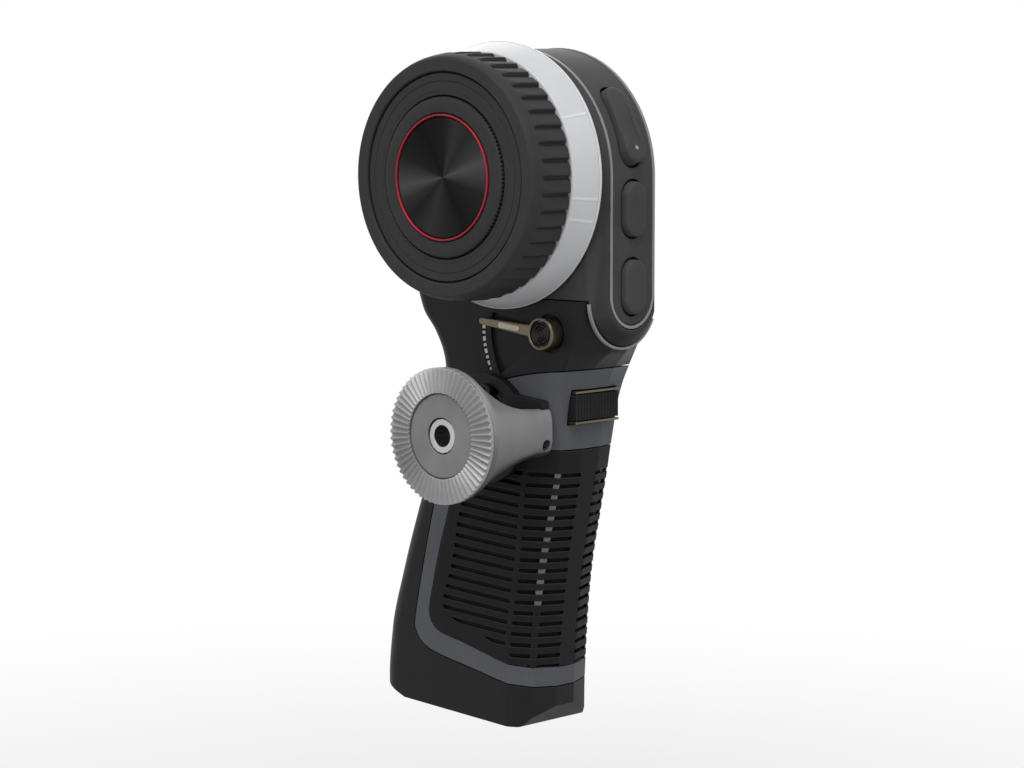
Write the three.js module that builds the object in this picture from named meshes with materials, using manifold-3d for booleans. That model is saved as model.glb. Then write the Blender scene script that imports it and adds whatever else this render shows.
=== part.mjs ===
// A hand-held wireless focus controller: a ribbed focus wheel on a slim pod, a neck with a small
// lever, and a raked hand grip with a trigger, carried by a toothed rosette on its left side.
// Millimetres, +Z up. The wheel faces -X, the buttons and the trigger face -Y. Everything is laid
// out round the wheel's axis, and the finished group is moved so that its origin is the centre of
// the rosette's face.
import * as THREE from "three";
import { mergeVertices } from "three/addons/utils/BufferGeometryUtils.js";
import Module from "manifold-3d";

const wasm = await Module();
wasm.setup();

// Clearances and shared counts
const gap = 0.3; // between pieces that touch
const overrun = 4; // how far a cutter runs past what it cuts
const weld = 1e-4;
const sliver = 1e-3; // volume below which a loose body is rounding left by a cut
const fine = 32;
const ringSteps = 24;
const medium = 16;
const coarse = 8;
const hexSides = 6;
const curveSteps = 8; // half the facets of each arc
const bandSteps = 6;
const smallSteps = 4;
const cornerSteps = 2;

// Driving sizes of the pod, the wheel's carrier
const pod = {
  halfWidth: 12,
  rimRadius: 30,
  bevel: 4,
  wall: 2,
  bottomDrop: 28, // wheel axis down to the centre of the round bottom
  seatDrop: 28.5, // wheel axis down to the face that stands on the neck
  noseWidthStep: 0.4, // how much narrower the nose is below the seat
  noseDepth: 3.7, // how far the nose stands out in front of the neck
  tongueHalfWidth: 7.9,
  tongueHalfLength: 20,
  tongueDepth: 4.2,
  coverSplit: 8, // from the centre plane to the side cover's joint
};

const panel = {
  halfWidth: 6.9,
  thickness: 1.2,
  inset: 0.2,
  bezelWidth: 0.7,
  bezelThickness: 1.5,
  bottomDrop: 27.5,
  endAngle: Math.PI / 3, // where the strip ends behind the top, from +Y
};

const keys = {
  halfWidth: 3.5,
  thickness: 2.6,
  proud: 1.7,
  edge: 0.5,
  travel: 0.5,
  postRadius: 2.2,
  postLength: 3.8,
  postClear: 2, // how far its hole runs past the post
  upperTop: 1,
  upperBottom: 13.9,
  upperPost: 7.4,
  lowerTop: 19.2,
  lowerBottom: 32,
  lowerPost: 23.6,
  boardThickness: 1,
  boardHalfWidth: 7,
  domeRadius: 1.7,
  domeHeight: 0.9,
};

const rocker = {
  angle: (24 * Math.PI) / 180, // its middle, above the wheel's axis
  halfLength: 9.6,
  proud: 2,
  thickness: 4.6,
  hole: 0.5, // clearance round it
  holeReach: 2, // how much further its hole runs in and out
  sweep: Math.PI / 4,
  pinRadius: 0.8,
  pinHalfLength: 6,
  pinDepth: 2.7, // pin centre below the rim
  postOffset: 5.4,
  postRadius: 1.3,
  postEnd: 5.3, // post end below the rim
  boardDepth: 6.4, // board face below the rim
  boardHalfLength: 8,
  domeRadius: 0.85,
};

// Sizes across the wheel are radii, and sizes along its axis run outwards from the pod's side
const wheel = {
  ringStart: 0.6,
  ringEnd: 8.2,
  ringBigRadius: 31.6,
  ringSmallRadius: 29,
  ringLip: 0.4,
  coreStart: 0.9,
  coreEnd: 19,
  coreRadius: 25.7,
  rimWall: 2.5,
  hubRadius: 7.5,
  webBack: 14.5,
  webFront: 18.3,
  tyreRadius: 29,
  tyreRoot: 28.1,
  tyreEnd: 20.9,
  tyreLipRadius: 24.4,
  shoulder: 2.4, // length and height of the tyre's rounded outer edge
  ribs: 46,
  ribShare: 0.72, // share of the pitch that is rib
  plateRadius: 24.1,
  plateFront: 19.9,
  bossRadius: 18.7,
  bossFront: 21.8,
  bossLedge: 20.2,
  bossChamfer: 0.7,
  knurls: 32,
  knurlDepth: 0.35,
  ledgeRadius: 12,
  redInner: 14.05,
  redOuter: 14.8,
  redStart: 20.5,
  redFront: 21.95,
  capRadius: 13.75,
  capFront: 21.5,
  capDish: 0.7,
  nutRadius: 5.2,
  nutThickness: 1.3,
};

// The tyre's outer edge: share of the shoulder's length, then of its height lost by rib and valley
const shoulderShares = [[0, 0, 0], [0.667, 0.333, 0.25], [1, 1, 0.708]];

const shaft = {
  radius: 3,
  end: 4.3, // inner end, from the centre plane
  collarRadius: 4.6,
  collarInner: 9.5, // collar's inner end, from the centre plane
  magnetLength: 1.6,
  bearingRadius: 8,
  bearingWidth: 3,
  outerBearing: 9.2, // outer face of the outer bearing, from the centre plane
  innerBearing: 1,
  housingRadius: 10,
  housingEnd: 2.6,
  flangeRadius: 14,
  flangeThickness: 1.8,
  shoulderRadius: 7,
  sealInner: 23.4,
  sealOuter: 25.2,
  sealProud: 0.6,
  sealDepth: 0.8,
};

const board = {
  thickness: 1.2,
  face: 5.6, // chip side, from the centre plane
  bottomDrop: 19.6,
  backClear: 3.3, // from its back edge to the cavity's back wall
  chipHalf: 2.5,
  chipHeight: 0.8,
};

const display = {
  halfLength: 11.5,
  top: 12,
  bottom: 16,
  corner: 2,
  glass: 0.9,
  inset: 0.1,
  ledge: 1.6,
  moduleDepth: 2.1,
};

const socket = { halfWidth: 4.5, halfHeight: 1.6, wall: 0.35, length: 6.6, drop: 14, floor: 1 };

const screw = {
  headRadius: 1.8,
  headLength: 1.3,
  shankRadius: 1.1,
  hexRadius: 0.9,
  hexDepth: 0.7,
};

const cover = { screwSide: 19.6, screwDrop: 22.4, bossRadius: 2.5, shank: 9 };

// The handle runs from the neck's top to the base. Its tables give the height share and the size
// share at each station: heights are shares of the height, depths of the depth, widths of the
// half width.
const handle = {
  height: 103.2,
  depth: 50,
  halfWidth: 13.4,
  skin: 1.5,
  wall: 1.6,
  roof: 3, // neck left between the pod's tongue and the cavity
  splitShare: 0.2248, // height share of the joint between the neck and the shells
  neckEndShare: 0.137, // down to here the depth is the neck's, which follows the pod
  gripShare: 0.41, // from here on it is the handle's own
  backSteps: 3,
  underside: 2.2, // how far the last station lies below the base
};

// The raked underside, which passes through the battery door's centre
const foot = { front: 5, back: 31.7, frontRun: 4.5, frontRise: 4.95, backRun: 8.3, backRise: 3.7 };

const stationShares = [
  0, 0.045, 0.112, 0.137, 0.165, 0.205, 0.25, 0.32, 0.41, 0.53, 0.66, 0.8, 0.94, 1,
];
const frontShares = [
  [0, -0.52], [0.112, -0.52], [0.137, -0.47], [0.165, -0.418], [0.205, -0.38], [0.25, -0.358],
  [0.38, -0.325], [0.5, -0.273], [0.62, -0.226], [0.74, -0.195], [0.82, -0.178], [0.92, -0.164], [1, -0.16],
];
const cornerShares = [
  [0, -0.518], [0.08, -0.462], [0.157, -0.386], [0.205, -0.354], [0.25, -0.337], [0.3, -0.326],
  [0.38, -0.305], [0.5, -0.256], [0.62, -0.204], [0.74, -0.17], [0.82, -0.156], [0.92, -0.143], [1, -0.14],
];
const cornerWidthShares = [
  [0, 0.896], [0.137, 0.896], [0.165, 0.87], [0.205, 0.81], [0.25, 0.755], [0.31, 0.705],
  [0.38, 0.665], [0.62, 0.68], [0.82, 0.71], [1, 0.72],
];
const sideStartShares = [
  [0, -0.505], [0.08, -0.45], [0.157, -0.372], [0.205, -0.32], [0.25, -0.27], [0.31, -0.22],
  [0.41, -0.165], [0.62, -0.118], [0.82, -0.06], [1, -0.05],
];
const backShares = [
  [0, 0.6], [0.044, 0.566], [0.088, 0.494], [0.128, 0.45], [0.167, 0.424], [0.225, 0.41], [0.302, 0.436],
  [0.4, 0.51], [0.503, 0.59], [0.67, 0.704], [0.814, 0.782], [0.94, 0.803], [1, 0.8],
];
const widthShares = [
  [0, 0.896], [0.128, 0.896], [0.178, 0.933], [0.225, 0.963], [0.302, 0.985], [0.5, 0.993],
  [0.8, 1], [0.94, 1.012], [1, 1],
];
const backRadiusShares = [
  [0, 0.3], [0.1, 0.33], [0.3, 0.43], [1, 0.45],
];
const flatShares = [
  [0, 0.84], [0.04, 0.78], [0.08, 0.6], [0.112, 0.25], [0.137, 0.3], [0.25, 0.4], [0.4, 0.42], [1, 0.45],
];

// Side outlines of the blue-grey trim: its outer edge, and the window that the rubber fills
const trimOuterShares = [
  [-0.6, 0.158], [-0.38, 0.162], [-0.16, 0.175], [0.02, 0.198], [0.18, 0.244], [0.286, 0.322], [0.36, 0.399],
  [0.424, 0.491], [0.494, 0.629], [0.556, 0.772], [0.548, 0.808], [0.5, 0.834], [0.4, 0.852], [0.18, 0.873],
  [-0.2, 0.908], [-0.6, 0.935],
];
const trimInnerShares = [
  [-0.6, 0.352], [-0.33, 0.345], [-0.2, 0.35], [0.04, 0.386], [0.22, 0.43], [0.31, 0.472], [0.35, 0.53],
  [0.394, 0.597], [0.442, 0.691], [0.466, 0.75], [0.448, 0.782], [0.385, 0.802], [0.23, 0.818], [-0.012, 0.847],
  [-0.2, 0.864], [-0.6, 0.89],
];
const grooveShares = [
  [-0.6, 0.372], [-0.1, 0.378], [0.1, 0.424], [0.22, 0.466], [0.272, 0.52], [0.3, 0.6], [0.335, 0.66],
  [0.372, 0.72], [0.36, 0.748], [0.29, 0.768], [0.08, 0.797], [-0.06, 0.822], [-0.6, 0.852],
];

const grooves = {
  count: 19,
  pitchShare: 0.025388, // of the handle's height
  firstShare: 0.395349, // at the centre plane
  height: 1.05,
  depth: 0.8,
  rake: (4 * Math.PI) / 180,
  bridge: 1.1, // plain strip at the side's front edge
  plainHalfWidth: 5,
};

const mount = {
  y: -5.5,
  heightShare: 0.294574, // of the handle's height, from its top
  reach: 40, // rosette's tooth tips, from the centre plane
  radius: 15.9,
  rimThickness: 1.5,
  toothInner: 10,
  teeth: 60,
  toothDepth: 0.9,
  toothRing: 1.4,
  land: 0.8, // the flat centre lies this far behind the tooth tips
  columnFront: 10.1, // from the mount's axis forward
  columnBack: 9.5,
  columnHalfHeight: 4.85,
  columnCorner: 2.2,
  columnLength: 9,
  baseThickness: 1.6,
  baseRadius: 13,
  baseShift: 9, // base disc's centre behind the axis
  baseLower: 0.8, // and below it
  insertOuter: 4,
  insertBore: 2.6,
  insertDepth: 9,
  screwLength: 6,
  pocketLength: 8.4,
  flareRings: 6,
  flarePower: 2.4,
};
// The mount's screws, from its axis
const mountScrew = { upperBack: 7.1, upperRise: 8.2, lowerFront: 8.5, lowerDrop: 3.4 };
const mountScrews = [
  { name: "mount_screw_upper", y: mountScrew.upperBack, z: mountScrew.upperRise },
  { name: "mount_screw_lower", y: -mountScrew.lowerFront, z: -mountScrew.lowerDrop },
];

const lever = {
  y: -14.7,
  heightShare: 0.075581, // of the handle's height, from its top
  knobRadius: 3.9,
  knobReach: 3.4, // how far the knob stands out of the neck's side
  pinCover: 1.7, // knob left in front of the pin
  armLength: 21,
  armAngle: (5.5 * Math.PI) / 180,
  rootHalf: 1.7,
  tipHalf: 0.8,
  armThickness: 1.4,
  armGap: 0.5,
  shaftRadius: 1.6,
  shaftEnd: 7.4,
  clipRadius: 2.6,
  clipThickness: 0.7,
  capRadius: 2.9,
  capThickness: 0.6,
  capRecess: 0.5,
  recessRadius: 18.6,
  recessDepth: 0.8,
  recessTop: (13 * Math.PI) / 180,
  recessBottom: (-35 * Math.PI) / 180,
  scaleInner: 20.4,
  scaleOuter: 21.4,
  scaleTop: (6.5 * Math.PI) / 180,
  scaleBottom: (-28 * Math.PI) / 180,
  scaleDepth: 0.35,
};

const trigger = {
  heightShare: 0.247093, // of the handle's height, from its top
  stand: 1.33, // how far it stands out of the handle's front
  halfWidth: 7.75,
  halfHeight: 3.9,
  edge: 0.6,
  proud: 0.2,
  depth: 4.4,
  back: 1.4,
  travel: 1.8,
  ribs: 11,
  ribDepth: 0.4,
  stemHalfWidth: 3,
  stemHalfHeight: 2,
  stemLength: 5.5,
  hole: 0.35,
  housingStart: 10.5, // housing and pocket, behind the trigger's front
  housingEnd: 16.3,
  housingHalfHeight: 4,
  pocketEnd: 15.3,
  domeRadius: 1.8,
  domeHeight: 0.6,
};

const battery = {
  radius: 9.2,
  lengthShare: 0.629845, // of the handle's height
  nubRadius: 2.8,
  nubHeight: 0.8,
  topY: 2.1,
  topShare: 0.292636, // of the handle's height, from its top
  tilt: (10 * Math.PI) / 180,
  contactRadius: 4,
  contactThickness: 0.4,
  carrierThickness: 2,
  carrierHalfWidth: 9.2,
  carrierFront: 4.5,
  carrierBack: 8.6,
};

const door = {
  y: 14,
  rise: 1.5, // above the handle's last station
  rake: (4.3 * Math.PI) / 180,
  halfWidth: 9.9,
  front: 15.2,
  back: 14.2,
  thickness: 2.6,
  roof: 2.2, // shell floor left above the door pocket
  hingeBack: 15.9,
  hingeUp: 1.5,
  knuckleRadius: 1.5,
  knuckleHalf: 3.5,
  pinRadius: 0.6,
  pinHalf: 7.5,
  latchHalf: 4,
  latchLength: 6.2,
  latchThickness: 1.3,
  latchTongue: 1.2,
  latchTravel: 1.6,
  latchGrips: 3,
  ribs: 4,
  ribWidth: 0.5,
  ribHalf: 5,
  ribPitch: 2,
  ribStart: 10.2, // first rib, from the door's front edge
  gripPitch: 1.5,
  springRadius: 4.2,
  springWire: 0.45,
  springTurns: 3.5,
  springHeight: 4.6,
  springFacets: 8,
  wireFacets: 3,
};

const shellScrews = [
  { name: "shell_screw_top", yShare: -0.196, share: 0.457 },
  { name: "shell_screw_middle", yShare: -0.094, share: 0.757 },
  { name: "shell_screw_back", yShare: 0.62, share: 0.8 },
];
const shellBoss = { radius: 2.9, seat: 6.8, shankEnd: 6.7 };
const neckScrew = { y: 14, headRadius: 2.2, headLength: 1.6, length: 6.6 };

// Places that follow from the sizes: drops are below the wheel's axis
const handleTop = pod.seatDrop + gap;
const dropAt = (share) => handleTop + handle.height * share;
const cavityDrop = handleTop + pod.tongueDepth + handle.roof;
const splitDrop = dropAt(handle.splitShare);
const leverDrop = dropAt(lever.heightShare);
const triggerDrop = dropAt(trigger.heightShare);
const mountDrop = dropAt(mount.heightShare);
const batteryTopDrop = dropAt(battery.topShare);
const batteryLength = handle.height * battery.lengthShare;
const doorDrop = dropAt(1) - door.rise;
const neckDepth = (pod.rimRadius - pod.noseDepth - gap) / -frontShares[0][1];
const triggerFront = depthAt(trigger.heightShare) * spread(frontShares, trigger.heightShare) - trigger.stand;

// A table's value at a share, on straight lines between its rows
function spread(table, share) {
  let i = 1;
  while (i < table.length - 1 && table[i][0] < share) i++;
  const [s0, v0] = table[i - 1];
  const [s1, v1] = table[i];
  const part = THREE.MathUtils.clamp((share - s0) / (s1 - s0), 0, 1);
  return v0 + (v1 - v0) * part;
}

// The neck's depth follows the pod, and the grip's depth is its own
function depthAt(share) {
  return spread([[handle.neckEndShare, neckDepth], [handle.gripShare, handle.depth]], share);
}

// Solids

function solid(geometry) {
  const bare = geometry.index ? geometry.toNonIndexed() : geometry.clone();
  bare.deleteAttribute("normal");
  bare.deleteAttribute("uv");
  const merged = mergeVertices(bare, weld);
  const corners = merged.index.array;
  const kept = [];
  const turnedOver = [];
  for (let i = 0; i < corners.length; i += 3) {
    const [a, b, c] = [corners[i], corners[i + 1], corners[i + 2]];
    if (a !== b && b !== c && a !== c) {
      kept.push(a, b, c);
      turnedOver.push(a, c, b);
    }
  }
  const vertProperties = merged.attributes.position.array;
  const build = (triangles) =>
    new wasm.Manifold(new wasm.Mesh({ numProp: 3, vertProperties, triVerts: new Uint32Array(triangles) }));
  const made = build(kept);
  return made.volume() < 0 ? build(turnedOver) : made;
}

function geometryOf(whole) {
  const bodies = whole.decompose().filter((body) => Math.abs(body.volume()) > sliver);
  const mesh = join(...bodies).getMesh();
  const points = new Float32Array(mesh.numVert * 3);
  for (let i = 0; i < mesh.numVert; i++) {
    points.set(mesh.vertProperties.subarray(i * mesh.numProp, i * mesh.numProp + 3), i * 3);
  }
  const geometry = new THREE.BufferGeometry();
  geometry.setAttribute("position", new THREE.BufferAttribute(points, 3));
  geometry.setIndex(new THREE.BufferAttribute(new Uint32Array(mesh.triVerts), 1));
  geometry.computeVertexNormals();
  return geometry;
}

const join = (first, ...others) => others.reduce((sum, one) => sum.add(one), first);
const cut = (first, ...others) => others.reduce((left, one) => left.subtract(one), first);
const meet = (first, ...others) => others.reduce((common, one) => common.intersect(one), first);

const axisX = new THREE.Vector3(1, 0, 0);
const axisY = new THREE.Vector3(0, 1, 0);
const axisZ = new THREE.Vector3(0, 0, 1);
const acrossX = new THREE.Matrix4().makeBasis(axisY, axisZ, axisX);
const acrossY = new THREE.Matrix4().makeBasis(axisX, axisZ, axisY.clone().negate());

function extruded(shape, length, edge, steps) {
  return new THREE.ExtrudeGeometry(shape, {
    depth: length - 2 * edge,
    steps: 1,
    curveSegments: steps,
    bevelEnabled: edge > 0,
    bevelThickness: edge,
    bevelSize: edge,
    bevelOffset: -edge,
    bevelSegments: 1,
  }).translate(0, 0, edge);
}

// A shape drawn in (y, z), extruded from x = from to x = to
function alongX(shape, from, to, edge = 0, steps = curveSteps) {
  return solid(extruded(shape, to - from, edge, steps).applyMatrix4(acrossX).translate(from, 0, 0));
}

// A shape drawn in (x, z), extruded from y = from to y = to
function alongY(shape, from, to, edge = 0, steps = curveSteps) {
  return solid(extruded(shape, to - from, edge, steps).applyMatrix4(acrossY).translate(0, to, 0));
}

// A profile of [radius, x] turned round the X axis
function turnedX(profile, steps = medium) {
  const points = profile.map(([radius, x]) => new THREE.Vector2(radius, x));
  return solid(new THREE.LatheGeometry(points, steps).rotateZ(-Math.PI / 2));
}

// A profile of [radius, distance out from the pod's side] turned round the wheel's axis
function turnedWheel(profile, steps = fine) {
  return turnedX(profile.map(([radius, out]) => [radius, -(pod.halfWidth + out)]), steps);
}

function turnedZ(profile, steps = medium) {
  const points = profile.map(([radius, z]) => new THREE.Vector2(radius, z));
  return solid(new THREE.LatheGeometry(points, steps).rotateX(Math.PI / 2));
}

function rodX(radius, from, to, steps = coarse) {
  return turnedX([[0, from], [radius, from], [radius, to], [0, to]], steps);
}

function rodZ(radius, from, to, steps = coarse) {
  return turnedZ([[0, from], [radius, from], [radius, to], [0, to]], steps);
}

function rodY(radius, from, to, steps = coarse) {
  return rodZ(radius, -to, -from, steps).rotate([90, 0, 0]);
}

function ringX(inner, outer, from, to, steps = medium) {
  return turnedX([[inner, from], [outer, from], [outer, to], [inner, to], [inner, from]], steps);
}

function block(x0, x1, y0, y1, z0, z1) {
  const box = new THREE.BoxGeometry(x1 - x0, y1 - y0, z1 - z0);
  return solid(box.translate((x0 + x1) / 2, (y0 + y1) / 2, (z0 + z1) / 2));
}

const placed = (made, x, y, z) => made.translate([x, y, z]);

function outline(points) {
  return new THREE.Shape(points.map(([across, up]) => new THREE.Vector2(across, up)));
}

// A rectangle with round corners, from (a0, b0) to (a1, b1)
function roundRect(a0, a1, b0, b1, radius) {
  const shape = new THREE.Shape();
  shape.moveTo(a0 + radius, b0);
  shape.lineTo(a1 - radius, b0);
  shape.absarc(a1 - radius, b0 + radius, radius, -Math.PI / 2, 0, false);
  shape.lineTo(a1, b1 - radius);
  shape.absarc(a1 - radius, b1 - radius, radius, 0, Math.PI / 2, false);
  shape.lineTo(a0 + radius, b1);
  shape.absarc(a0 + radius, b1 - radius, radius, Math.PI / 2, Math.PI, false);
  shape.lineTo(a0, b0 + radius);
  shape.absarc(a0 + radius, b0 + radius, radius, Math.PI, 1.5 * Math.PI, false);
  return shape;
}

// A sector of a ring between two angles, or a slice when inner is 0
function ringSector(inner, outer, from, to) {
  const shape = new THREE.Shape();
  shape.absarc(0, 0, outer, from, to, false);
  if (inner > 0) {
    shape.absarc(0, 0, inner, to, from, true);
  } else {
    shape.lineTo(0, 0);
  }
  return shape;
}

// Points round a toothed outline with V valleys: share is how much of each pitch the tip takes
function toothedRing(root, tip, count, share) {
  const pitch = (2 * Math.PI) / count;
  const half = (share * pitch) / 2;
  const tooth = share > 0 ? [[tip, -half], [tip, half]] : [[tip, 0]];
  const points = [];
  for (let i = 0; i < count; i++) {
    [...tooth, [root, pitch / 2]].forEach(([radius, turn]) => {
      points.push([radius * Math.cos(i * pitch + turn), radius * Math.sin(i * pitch + turn)]);
    });
  }
  return points;
}

// Scene graph

const followFocus = new THREE.Group();
followFocus.name = "wireless_follow_focus";
followFocus.position.set(mount.reach, -mount.y, mountDrop);

function groupAt(parent, x, y, z, turnX) {
  const group = new THREE.Group();
  group.position.set(x, y, z);
  group.rotation.x = turnX;
  parent.add(group);
  return group;
}

const wheelGroup = groupAt(followFocus, 0, 0, 0, 0);
const podGroup = groupAt(followFocus, 0, 0, 0, 0);
const handleGroup = groupAt(followFocus, 0, 0, 0, 0);
const rockerGroup = groupAt(podGroup, 0, 0, 0, -rocker.angle);
const leverGroup = groupAt(handleGroup, 0, lever.y, -leverDrop, 0);
const mountGroup = groupAt(handleGroup, 0, mount.y, -mountDrop, 0);
const batteryGroup = groupAt(handleGroup, 0, battery.topY, -batteryTopDrop, battery.tilt);
const baseGroup = groupAt(handleGroup, 0, door.y, -doorDrop, door.rake);

const blackPlastic = { color: 0x202124, roughness: 0.5, metalness: 0.1 };
const podPlastic = { color: 0x303235, roughness: 0.45, metalness: 0.2 };
const blackRubber = { color: 0x26272a, roughness: 0.85, metalness: 0 };
const blueGrey = { color: 0x4a505c, roughness: 0.5, metalness: 0.1 };
const silver = { color: 0xb9bcc0, roughness: 0.3, metalness: 1 };
const steel = { color: 0x9a9ca0, roughness: 0.35, metalness: 1 };
const greyMetal = { color: 0x4c4e51, roughness: 0.4, metalness: 0.9 };
const gold = { color: 0x8c7b5c, roughness: 0.35, metalness: 0.9 };
const circuit = { color: 0x1d3a2a, roughness: 0.6, metalness: 0 };

function piece(name, made, look, parent) {
  const mesh = new THREE.Mesh(geometryOf(made), new THREE.MeshStandardMaterial(look));
  mesh.name = name;
  parent.add(mesh);
}

// Wheel

function wheelRing(inner, outer, start, end, steps) {
  return ringX(inner, outer, -(pod.halfWidth + end), -(pod.halfWidth + start), steps);
}

function makeWheel() {
  const w = wheel;
  const rimInner = w.coreRadius - w.rimWall;
  piece("wheel_core", turnedWheel([
    [shaft.radius + gap, w.coreStart], [w.hubRadius, w.coreStart], [w.hubRadius, w.webBack],
    [rimInner, w.webBack], [rimInner, w.coreStart], [w.coreRadius, w.coreStart], [w.coreRadius, w.coreEnd],
    [w.tyreLipRadius, w.coreEnd], [w.tyreLipRadius, w.webFront], [shaft.radius + gap, w.webFront],
    [shaft.radius + gap, w.coreStart],
  ], ringSteps), blackPlastic, wheelGroup);

  piece("marking_ring", turnedWheel([
    [w.coreRadius + gap, w.ringStart], [w.ringBigRadius - w.ringLip, w.ringStart],
    [w.ringBigRadius, w.ringStart + w.ringLip], [w.ringSmallRadius, w.ringEnd],
    [w.coreRadius + gap, w.ringEnd], [w.coreRadius + gap, w.ringStart],
  ]), { color: 0xd4d6da, roughness: 0.3, metalness: 0.1 }, wheelGroup);

  piece("wheel_tyre", tyre(), blackRubber, wheelGroup);

  const plate = wheelRing(w.bossRadius + gap, w.plateRadius, w.webFront + gap, w.plateFront, fine);
  piece("face_plate", plate, blackPlastic, wheelGroup);

  const knurl = (radius) => [radius - w.knurlDepth, radius];
  const boss = toothedDrum(w.knurls, 0, [
    [w.webFront + gap, knurl(w.bossRadius)],
    [w.bossFront - w.bossChamfer, knurl(w.bossRadius)],
    [w.bossFront, knurl(w.bossRadius - w.bossChamfer)],
  ]);
  const bore = turnedWheel([
    [0, 0], [w.ledgeRadius, 0], [w.ledgeRadius, w.bossLedge], [w.redOuter + gap, w.bossLedge],
    [w.redOuter + gap, w.bossFront + overrun], [0, w.bossFront + overrun],
  ], ringSteps);
  piece("knurled_boss", cut(boss, bore), blackPlastic, wheelGroup);

  const red = wheelRing(w.redInner, w.redOuter, w.redStart, w.redFront, ringSteps);
  piece("red_ring", red, { color: 0xb02838, roughness: 0.35, metalness: 0.5 }, wheelGroup);

  piece("spun_cap", turnedWheel([
    [0, w.redStart], [w.capRadius, w.redStart], [w.capRadius, w.capFront], [0, w.capFront - w.capDish],
  ], ringSteps), { color: 0x17181a, roughness: 0.3, metalness: 0.9 }, wheelGroup);

  const nutBack = w.webFront + gap;
  const nutFront = -(pod.halfWidth + nutBack + w.nutThickness);
  const nutHole = rodX(shaft.radius + gap, nutFront - overrun, 0, medium);
  const nutStock = rodX(w.nutRadius, nutFront, -(pod.halfWidth + nutBack), hexSides);
  piece("hub_nut", cut(nutStock, nutHole), steel, wheelGroup);

  const collarOut = -(pod.halfWidth + w.coreStart - gap);
  piece("wheel_shaft", turnedX([
    [0, nutFront], [shaft.radius, nutFront], [shaft.radius, collarOut], [shaft.collarRadius, collarOut],
    [shaft.collarRadius, -shaft.collarInner], [shaft.radius, -shaft.collarInner],
    [shaft.radius, shaft.end - shaft.magnetLength - gap], [0, shaft.end - shaft.magnetLength - gap],
  ]), steel, wheelGroup);
  const magnet = rodX(shaft.radius, shaft.end - shaft.magnetLength, shaft.end, medium);
  piece("encoder_magnet", magnet, steel, wheelGroup);
}

// A drum round the wheel's axis with axial teeth; each station is [distance out, [root, tip]]
function toothedDrum(count, share, stations) {
  const rings = stations.map(([out, [root, tip]]) =>
    toothedRing(root, tip, count, share).map(([y, z]) => [-(pod.halfWidth + out), y, z]));
  return solid(loft(rings));
}

function tyre() {
  const w = wheel;
  const edge = shoulderShares.map(([length, rib, valley]) => [
    w.tyreEnd - w.shoulder * (1 - length),
    [w.tyreRoot - w.shoulder * valley, w.tyreRadius - w.shoulder * rib],
  ]);
  const drum = toothedDrum(w.ribs, w.ribShare, [[w.ringEnd + gap, [w.tyreRoot, w.tyreRadius]], ...edge]);
  const lip = w.tyreLipRadius + gap;
  const bore = w.coreRadius + gap;
  return cut(drum, turnedWheel([
    [0, 0], [bore, 0], [bore, w.coreEnd + gap], [lip, w.coreEnd + gap], [lip, w.tyreEnd + overrun],
    [0, w.tyreEnd + overrun],
  ]));
}

// Pod

function sideOutline(radius) {
  const low = -(pod.bottomDrop + pod.halfWidth + pod.bevel + overrun);
  const shape = new THREE.Shape();
  shape.moveTo(-radius, low);
  shape.lineTo(-radius, 0);
  shape.absarc(0, 0, radius, Math.PI, 0, true);
  shape.lineTo(radius, low);
  return shape;
}

function frontOutline(halfWidth, drop) {
  const high = pod.rimRadius + overrun;
  const shape = new THREE.Shape();
  shape.moveTo(-halfWidth, high);
  shape.lineTo(-halfWidth, -drop);
  shape.absarc(0, -drop, halfWidth, Math.PI, 2 * Math.PI, false);
  shape.lineTo(halfWidth, high);
  return shape;
}

// The strip round the front and over the top, between two depths below the rim
function rimBand(outer, inner) {
  const low = -(pod.bottomDrop + pod.halfWidth + overrun);
  const shape = new THREE.Shape();
  shape.moveTo(-outer, low);
  shape.lineTo(-outer, 0);
  shape.absarc(0, 0, outer, Math.PI, panel.endAngle, true);
  shape.absarc(0, 0, inner, panel.endAngle, Math.PI, false);
  shape.lineTo(-inner, low);
  return shape;
}

function rimStrip(halfWidth, outer, inner) {
  const across = alongX(rimBand(outer, inner), -halfWidth - overrun, halfWidth + overrun, 0, bandSteps);
  const limit = pod.rimRadius + overrun;
  return meet(across, alongY(frontOutline(halfWidth, panel.bottomDrop), -limit, limit, 0, smallSteps));
}

// An upright slot outline with round ends
function capsule(halfWidth, top, bottom) {
  const shape = new THREE.Shape();
  shape.moveTo(-halfWidth, top - halfWidth);
  shape.lineTo(-halfWidth, bottom + halfWidth);
  shape.absarc(0, bottom + halfWidth, halfWidth, Math.PI, 2 * Math.PI, false);
  shape.lineTo(halfWidth, top - halfWidth);
  shape.absarc(0, top - halfWidth, halfWidth, 0, Math.PI, false);
  return shape;
}

const keyFront = -(pod.rimRadius - panel.inset + keys.proud);
const keyBack = keyFront + keys.thickness;
const postEnd = keyBack + keys.postLength;
const cavityRadius = pod.rimRadius - pod.bevel - pod.wall;
const bezelHalfWidth = panel.halfWidth + gap + panel.bezelWidth;

const keyPlaces = [
  ["button_upper", keys.upperTop, keys.upperBottom, keys.upperPost],
  ["button_lower", keys.lowerTop, keys.lowerBottom, keys.lowerPost],
];

function keySolid(top, bottom, post) {
  const cap = alongY(capsule(keys.halfWidth, -top, -bottom), keyFront, keyBack, keys.edge, smallSteps);
  return join(cap, placed(rodY(keys.postRadius, keyBack - keys.edge, postEnd), 0, 0, -post));
}

// Holes for the two keys, deep enough for their travel
function keyHoles() {
  return keyPlaces.flatMap(([, top, bottom, post]) => [
    alongY(capsule(keys.halfWidth + gap, gap - top, -gap - bottom), keyFront - overrun,
      keyBack + keys.travel + gap, 0, smallSteps),
    placed(rodY(keys.postRadius + gap, keyBack, postEnd + keys.postClear), 0, 0, -post),
  ]);
}

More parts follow.
